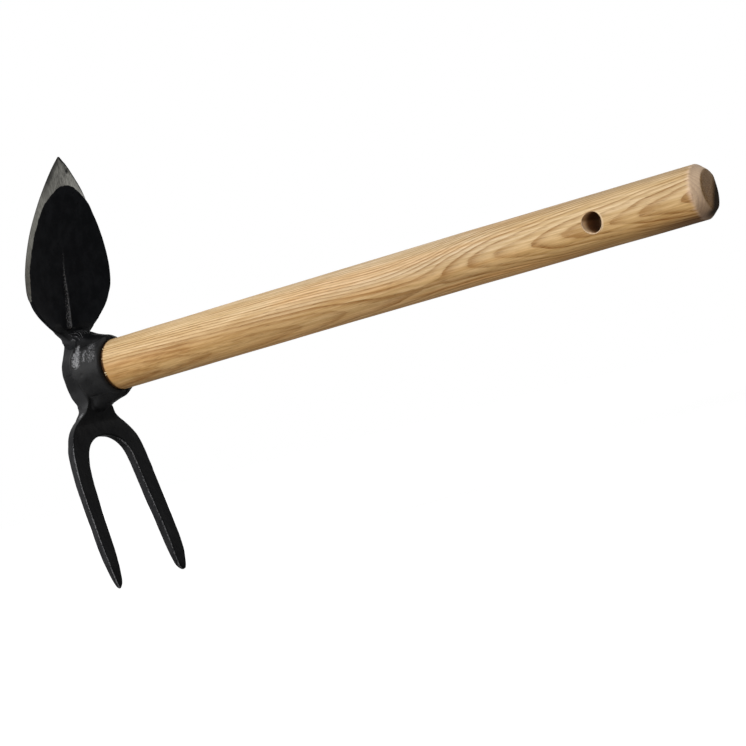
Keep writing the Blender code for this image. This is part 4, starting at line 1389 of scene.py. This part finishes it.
# How many growth rings the grain has run through along the stick, as (x, rings) knots
RING_KNOTS = (
    (-0.400, 4.8), (-0.371, 4.16), (-0.329, 3.32), (-0.283, 2.38), (-0.229, 1.46), (-0.198, 0.50), (-0.170, 0.08),
    (-0.156, 0.14), (-0.144, 0.56), (-0.118, 1.60), (-0.094, 2.63), (-0.077, 3.65), (-0.0455, 4.69), (-0.031, 5.71),
    (-0.0115, 6.75), (0.000, 7.3),
)
RINGS_FROM = -0.4
MOST_RINGS = 8.0
# Share of earlywood across one growth ring
RING_SHARES = (
    (0.0, 0.80), (0.05, 1.0), (0.20, 0.80), (0.40, 0.42), (0.62, 0.15), (0.84, 0.06), (0.94, 0.22), (1.0, 0.80),
)
# Parts of the stick tinted paler and darker: edges as (axis, start, full), and the tint inside them all. The second to
# fourth are painted shade, on the top near the free end and beneath it; the sixth is painted light under the middle of
# the stick; the first is bluer in the middle, and the fifth darker round the middle height towards the eye
WOOD_LIGHT_AND_SHADE_TINTS = (
    ((("X", -0.300, -0.190), ("X", -0.080, -0.150)), (0.97, 1.01, 1.12)),
    ((("X", -0.170, -0.050), ("Z", 0.0090, 0.0142)), (0.78, 0.78, 0.80)),
    ((("X", -0.110, -0.010), ("Z", -0.0070, -0.0130)), (0.80, 0.74, 0.66)),
    ((("X", -0.050, -0.004), ("Z", -0.0090, -0.0124)), (0.32, 0.27, 0.22)),
    ((("Z", 0.0042, 0.0008), ("Z", -0.0080, -0.0040), ("X", -0.190, -0.260)), (0.86, 0.84, 0.83)),
    ((("Z", -0.0080, -0.0115), ("X", -0.360, -0.240), ("X", -0.050, -0.130)), (1.24, 1.17, 1.08)),
)


def curve_node(tree, value, knots):
    """Return a smooth curve through (place, height) knots, all from 0 to 1."""
    node = add_node(tree, "ShaderNodeFloatCurve", {"Value": value})
    points = node.mapping.curves[0].points
    points[0].location = knots[0]
    points[-1].location = knots[-1]
    for knot_place, height in knots[1:-1]:
        points.new(knot_place, height)
    node.mapping.update()
    return node.outputs[0]


def grain_noise(tree, point, along, across, detail, roughness=0.5):
    """Return noise that is drawn out along the stick."""
    return noise(tree, stretched(tree, point, (along, across, across)), 1.0, detail, roughness)


def ring_pattern(tree, point, x, y, z, spacing):
    """Return the share of earlywood, from growth rings that bend along the stick."""
    station = math_node(tree, "MULTIPLY_ADD", x, -1 / RINGS_FROM, 1.0)
    knots = [((kx - RINGS_FROM) / -RINGS_FROM, rings / MOST_RINGS) for kx, rings in RING_KNOTS]
    bend = times(tree, curve_node(tree, station, knots), MOST_RINGS)
    turned = ramp(tree, x, -0.190, -0.110)
    lean_y = mix_value(tree, turned, -0.74, -0.985)
    lean_z = mix_value(tree, turned, -0.67, -0.17)
    depth = math_node(tree, "MULTIPLY_ADD", y, lean_y, times(tree, z, lean_z))
    drift = grain_noise(tree, point, 14.0, 75.0, 1.0)
    tremble = grain_noise(tree, point, 75.0, 480.0, 2.0)
    wander = math_node(tree, "MULTIPLY_ADD", drift, 1.1, times(tree, tremble, 0.36))
    phase = math_node(tree, "DIVIDE", depth, spacing)
    phase = math_node(tree, "ADD", math_node(tree, "ADD", phase, bend), math_node(tree, "SUBTRACT", wander, 0.73))
    early = curve_node(tree, math_node(tree, "FRACT", phase), RING_SHARES)
    number = math_node(tree, "FLOOR", phase)
    kind = add_node(tree, "ShaderNodeTexWhiteNoise", {"W": number}, noise_dimensions="1D").outputs["Value"]
    patchy = grain_noise(tree, point, 22.0, 260.0, 2.0)
    strength = math_node(tree, "MULTIPLY_ADD", kind, 0.45, math_node(tree, "MULTIPLY_ADD", patchy, 0.9, -0.02))
    early = math_node(tree, "MULTIPLY", early, strength, clamp=True)

    near_eye = times(tree, ramp(tree, x, -0.220, -0.330), ramp(tree, z, 0.004, -0.004))
    early = times(tree, early, math_node(tree, "MULTIPLY_ADD", near_eye, -0.55, 1.0))
    near_hole = times(tree, ramp(tree, x, -0.0540, -0.0470), ramp(tree, x, -0.0330, -0.0400))
    near_hole = times(tree, near_hole, ramp(tree, z, 0.0050, 0.0))
    early = times(tree, early, math_node(tree, "MULTIPLY_ADD", near_hole, -0.50, 1.0))
    mottle = ramp(tree, grain_noise(tree, point, 30.0, 160.0, 3.0, 0.6), 0.42, 0.66)
    return math_node(tree, "ADD", early, times(tree, mottle, near_eye, 0.50))


def end_grain(tree, point, x, y, z, streak, color):
    """Return the colour with the brown end face, the sanded chamfer and a darker lower right corner, and how dark that
    corner is.
    """
    end_face = ramp(tree, x, -0.0008, -0.0002)
    face_color = mix_color(tree, ramp(tree, z, -0.001, -0.009), END_FACE_UPPER, END_FACE_LOWER)
    color = mix_color(tree, times(tree, end_face, 0.72), color, face_color)
    speckle = ramp(tree, noise(tree, point, 1100.0, 2.0, 0.6), 0.44, 0.60)
    color = tinted(tree, times(tree, end_face, speckle), color, SPECKLE_TINT)
    frayed = math_node(tree, "MULTIPLY_ADD", streak, -0.0040, x)
    sanded = times(tree, ramp(tree, frayed, -0.0092, -0.0058), math_node(tree, "SUBTRACT", 1.0, end_face))
    color = mix_color(tree, times(tree, sanded, 0.60), color, SANDED_COLOR)
    # Painted shade: the sanded chamfer darker towards the bottom
    color = tinted(tree, times(tree, sanded, ramp(tree, z, -0.0030, -0.0110)), color, SANDED_UNDERSIDE_SHADE)
    # Darker, and rough, towards the lower right corner of the end face and its chamfer
    corner = math_node(tree, "MULTIPLY_ADD", y, 0.77, times(tree, z, -0.60))
    dark_corner = times(tree, ramp(tree, corner, -0.0004, 0.0050), ramp(tree, x, -0.0060, -0.0008))
    return mix_color(tree, times(tree, dark_corner, 0.94), color, DARK_CORNER_COLOR), dark_corner


def drilled_wood(tree, x, y, z, sizes, fibre, color):
    """Return the colour with the wall and the chipped rim of the hanging hole, the wall painted light and darkened
    deeper in as painted shade, and 1 inside the hole.
    """
    radius = sizes.hole_radius
    beside = math_node(tree, "ADD", x, sizes.hole_from_end)
    from_axis = math_node(tree, "SQRT", math_node(tree, "ADD", times(tree, beside, beside), times(tree, z, z)))
    in_hole = ramp(tree, from_axis, radius + 0.0004, radius + 0.0002)
    frayed = math_node(tree, "ADD", beside, times(tree, fibre, 0.004))
    chips = times(tree, ramp(tree, from_axis, radius + 0.0012, radius + 0.0006), ramp(tree, frayed, 0.0045, 0.0075))
    color = mix_color(tree, times(tree, chips, 0.4), color, RIM_CHIP_COLOR)
    # Painted light on the hole's wall, and painted shade deeper in the hole
    color = mix_color(tree, in_hole, color, HOLE_WALL_LIGHT)
    deep = times(tree, in_hole, ramp(tree, math_node(tree, "ABSOLUTE", y), 0.0125, 0.0055))
    color = tinted(tree, deep, color, HOLE_DEEP_SHADE)
    rim = times(tree, in_hole, ramp(tree, from_axis, radius + 0.00003, radius + 0.00010))
    return tinted(tree, rim, color, HOLE_RIM_TINT), in_hole


def ash_material(sizes, colors):
    """Ash with straight grain above and pointed figures below, with painted shade under the stick, towards the free
    end, deep in the hole and in the gap at the eye, a darker corner at the end, and painted light on the hole's wall.
    """
    material, tree, shader = new_material("ash_wood")
    point = object_point(tree)
    axes = add_node(tree, "ShaderNodeSeparateXYZ", {0: point}).outputs
    x, y, z = axes
    early = ring_pattern(tree, point, x, y, z, sizes.ring_spacing)
    fibre = grain_noise(tree, point, 90.0, 1900.0, 3.0, 0.65)
    streak = grain_noise(tree, point, 34.0, 900.0, 2.0)
    warm = grain_noise(tree, point, 7.0, 130.0, 1.0)
    pore_line = grain_noise(tree, point, 200.0, 3600.0, 1.0)
    pores = times(tree, ramp(tree, pore_line, 0.58, 0.70), math_node(tree, "ADD", early, 0.15))
    pores = math_node(tree, "MULTIPLY", pores, 0.75, clamp=True)

    color = mix_color(tree, early, tuple(colors.latewood), tuple(colors.earlywood))
    color = tinted(tree, times(tree, ramp(tree, streak, 0.36, 0.64), 0.85), color, STREAK_TINT)
    color = tinted(tree, times(tree, ramp(tree, warm, 0.50, 0.70), 0.55), color, WARM_TINT)
    color = tinted(tree, times(tree, ramp(tree, fibre, 0.40, 0.60), 0.60), color, FIBRE_TINT)
    color = mix_color(tree, pores, color, scaled(colors.earlywood, 0.45))
    # Painted shade: browner and darker on the underside of the stick
    lower = math_node(tree, "MULTIPLY_ADD", ramp(tree, x, -0.060, -0.300), -0.0026, z)
    color = tinted(tree, ramp(tree, lower, 0.0055, -0.0070), color, UNDERSIDE_SHADE)
    for edges, tint in WOOD_LIGHT_AND_SHADE_TINTS:
        part = times(tree, *(ramp(tree, axes[axis], start, full) for axis, start, full in edges))
        color = tinted(tree, part, color, tint)

    color, dark_corner = end_grain(tree, point, x, y, z, streak, color)
    color, in_hole = drilled_wood(tree, x, y, z, sizes, fibre, color)
    # Painted shadow: a dark band on the wood in the gap where it enters the eye
    gap = ramp(tree, math_node(tree, "MULTIPLY_ADD", fibre, 0.0006, x), EYE_MOUTH_X + 0.0024, EYE_MOUTH_X + 0.0011)
    color = mix_color(tree, times(tree, gap, 0.9), color, MOUTH_GAP_SHADOW)
    color = mix_color(tree, attribute(tree, "chip"), color, SPLINTER_COLOR)

    rough = mix_value(tree, in_hole, mix_value(tree, early, 0.50, 0.62), 1.0)
    rough = mix_value(tree, dark_corner, rough, 1.0)
    height = math_node(tree, "MULTIPLY_ADD", fibre, 0.35, times(tree, pores, -0.9))
    height = math_node(tree, "SUBTRACT", height, times(tree, early, 0.35))
    wire_surface(tree, shader, color, rough, 0.18, height, 0.35, 0.0002)
    return material


# ---- Stage ----

CAMERA_PLACE = (0.4438, -1.0805, -0.0651)
CAMERA_RIGHT = (0.82555, 0.50477, -0.25233)
CAMERA_UP = (0.22493, 0.11576, 0.96747)
SENSOR_WIDTH = 36.0
# Lamps: offset from the middle of the model, and size
KEY_LAMP = ((-0.40, -1.15, 0.75), (1.3, 0.9))
SIDE_LAMP = ((-1.1, -1.15, 0.12), (0.42, 0.9))
FLOOR_GREY = (0.45, 0.45, 0.45)
FLOOR_BELOW = 0.0002
FLOOR_REACH = 6.0


def build_camera(settings):
    """Place the camera at the photograph's viewing angle."""
    data = bpy.data.cameras.new("camera")
    data.lens = settings.lens
    data.sensor_width = SENSOR_WIDTH
    data.clip_start = 0.05
    data.clip_end = 50.0
    camera = bpy.data.objects.new("camera", data)
    bpy.context.scene.collection.objects.link(camera)
    right = Vector(CAMERA_RIGHT).normalized()
    back = right.cross(Vector(CAMERA_UP)).normalized()
    up = back.cross(right)
    turn = Matrix((right, up, back)).transposed().to_4x4()
    camera.matrix_world = Matrix.Translation(Vector(CAMERA_PLACE)) @ turn
    bpy.context.scene.camera = camera


def build_lamp(name, offset, size, power):
    """Add a soft rectangular lamp that faces the middle of the model from an offset."""
    data = bpy.data.lights.new(name, "AREA")
    data.shape = "RECTANGLE"
    data.size, data.size_y = size
    data.energy = power
    lamp = bpy.data.objects.new(name, data)
    bpy.context.scene.collection.objects.link(lamp)
    middle = (CAD_BOX[0] + CAD_BOX[1]) / 2
    lamp.location = middle + Vector(offset)
    lamp.rotation_euler = (middle - lamp.location).to_track_quat("-Z", "Y").to_euler()


def build_world(settings):
    """White background for the camera, and an even fill for everything else."""
    world = bpy.data.worlds.new("studio")
    world.use_nodes = True
    tree = world.node_tree
    tree.nodes.clear()
    path = add_node(tree, "ShaderNodeLightPath")
    seen = math_node(tree, "MAXIMUM", path.outputs["Is Camera Ray"], path.outputs["Is Glossy Ray"])
    seen = math_node(tree, "MAXIMUM", seen, path.outputs["Is Transmission Ray"])
    strength = mix_value(tree, seen, settings.fill, 1.0)
    sky = add_node(tree, "ShaderNodeBackground", {"Color": (1.0, 1.0, 1.0, 1.0), "Strength": strength})
    out = add_node(tree, "ShaderNodeOutputWorld")
    tree.links.new(sky.outputs[0], out.inputs["Surface"])
    bpy.context.scene.world = world


def build_floor():
    """Pale floor that shows white to the camera and keeps the shadow; it can't be seen from below."""
    material = bpy.data.materials.new("pale_floor")
    material.use_nodes = True
    tree = material.node_tree
    tree.nodes.clear()
    point = object_point(tree)
    away = add_node(tree, "ShaderNodeVectorMath", {0: point}, operation="LENGTH").outputs["Value"]
    path = add_node(tree, "ShaderNodeLightPath")
    diffuse = add_node(tree, "ShaderNodeBsdfDiffuse", {"Color": (*FLOOR_GREY, 1.0)})
    glow = mix_value(tree, ramp(tree, away, 0.6, 2.5), 0.76, 1.0)
    seen = times(tree, path.outputs["Is Camera Ray"], glow)
    shine = add_node(tree, "ShaderNodeEmission", {"Color": (1.0, 1.0, 1.0, 1.0), "Strength": seen})
    both = add_node(tree, "ShaderNodeAddShader", {0: diffuse.outputs[0], 1: shine.outputs[0]})
    clear = add_node(tree, "ShaderNodeBsdfTransparent")
    side = add_node(tree, "ShaderNodeNewGeometry").outputs["Backfacing"]
    mixed = add_node(tree, "ShaderNodeMixShader", {0: side, 1: both.outputs[0], 2: clear.outputs[0]})
    out = add_node(tree, "ShaderNodeOutputMaterial")
    tree.links.new(mixed.outputs[0], out.inputs["Surface"])
    z = CAD_BOX[0].z - FLOOR_BELOW
    corners = [(sx * FLOOR_REACH, sy * FLOOR_REACH, z) for sx, sy in ((-1, -1), (1, -1), (1, 1), (-1, 1))]
    floor = mesh_object("floor", corners, [(0, 1, 2, 3)], material)


# ---- Operators ----

class HandleOperator(bpy.types.Operator):
    """Build the ash handle"""

    bl_idname = "heart_hoe.handle"
    bl_label = "Handle"

    def execute(self, context):
        build_handle(context.scene.hoe_handle, context.scene.hoe_colors)
        return {"FINISHED"}


class BladeOperator(bpy.types.Operator):
    """Build the heart blade"""

    bl_idname = "heart_hoe.blade"
    bl_label = "Heart blade"

    def execute(self, context):
        build_blade(context.scene.hoe_head, context.scene.hoe_colors)
        return {"FINISHED"}


class EyeOperator(bpy.types.Operator):
    """Build the eye"""

    bl_idname = "heart_hoe.eye"
    bl_label = "Eye"

    def execute(self, context):
        build_eye(context.scene.hoe_head, context.scene.hoe_colors)
        return {"FINISHED"}


class ForkOperator(bpy.types.Operator):
    """Build the fork"""

    bl_idname = "heart_hoe.fork"
    bl_label = "Fork"

    def execute(self, context):
        build_fork(context.scene.hoe_head, context.scene.hoe_colors)
        return {"FINISHED"}


class WeldsOperator(bpy.types.Operator):
    """Build both weld beads"""

    bl_idname = "heart_hoe.welds"
    bl_label = "Weld beads"

    def execute(self, context):
        build_blade_weld(context.scene.hoe_head, context.scene.hoe_colors)
        build_fork_weld(context.scene.hoe_head)
        return {"FINISHED"}


class WedgeOperator(bpy.types.Operator):
    """Build the wedge in the head end of the stick"""

    bl_idname = "heart_hoe.wedge"
    bl_label = "Wedge"

    def execute(self, context):
        build_wedge(context.scene.hoe_colors)
        return {"FINISHED"}


class StageOperator(bpy.types.Operator):
    """Build the floor, the lamps, the background and the camera"""

    bl_idname = "heart_hoe.stage"
    bl_label = "Stage"

    def execute(self, context):
        settings = context.scene.hoe_stage
        context.scene.view_settings.view_transform = "Standard"
        build_camera(settings)
        build_world(settings)
        build_floor()
        build_lamp("key_lamp", *KEY_LAMP, settings.key_power)
        build_lamp("side_lamp", *SIDE_LAMP, settings.side_power)
        return {"FINISHED"}


class HoePanel(bpy.types.Panel):
    """Lists the steps that build the hoe."""

    bl_idname = "VIEW3D_PT_heart_hoe"
    bl_label = "Heart hoe"
    bl_space_type = "VIEW_3D"
    bl_region_type = "UI"
    bl_category = "Heart hoe"

    def draw(self, context):
        for step in STEPS:
            self.layout.operator(step.bl_idname)
        for group in (context.scene.hoe_handle, context.scene.hoe_head, context.scene.hoe_colors,
                      context.scene.hoe_stage):
            box = self.layout.box()
            for name in group.__annotations__:
                box.prop(group, name)


STEPS = (HandleOperator, WedgeOperator, BladeOperator, EyeOperator, WeldsOperator, ForkOperator, StageOperator)
GROUPS = {
    "hoe_handle": HandleSizes,
    "hoe_head": HeadSizes,
    "hoe_colors": HoeColors,
    "hoe_stage": StageSettings,
}


def register():
    """Register the classes and give the scene their settings."""
    for cls in (*GROUPS.values(), *STEPS, HoePanel):
        bpy.utils.register_class(cls)
    for name, cls in GROUPS.items():
        setattr(bpy.types.Scene, name, PointerProperty(type=cls))


def unregister():
    """Take the settings and the classes away again."""
    for name in GROUPS:
        delattr(bpy.types.Scene, name)
    for cls in reversed((*GROUPS.values(), *STEPS, HoePanel)):
        bpy.utils.unregister_class(cls)


def main():
    """Build everything."""
    register()
    bpy.ops.heart_hoe.handle()
    bpy.ops.heart_hoe.wedge()
    bpy.ops.heart_hoe.blade()
    bpy.ops.heart_hoe.eye()
    bpy.ops.heart_hoe.welds()
    bpy.ops.heart_hoe.fork()
    bpy.ops.heart_hoe.stage()


if __name__ == "__main__":
    main()
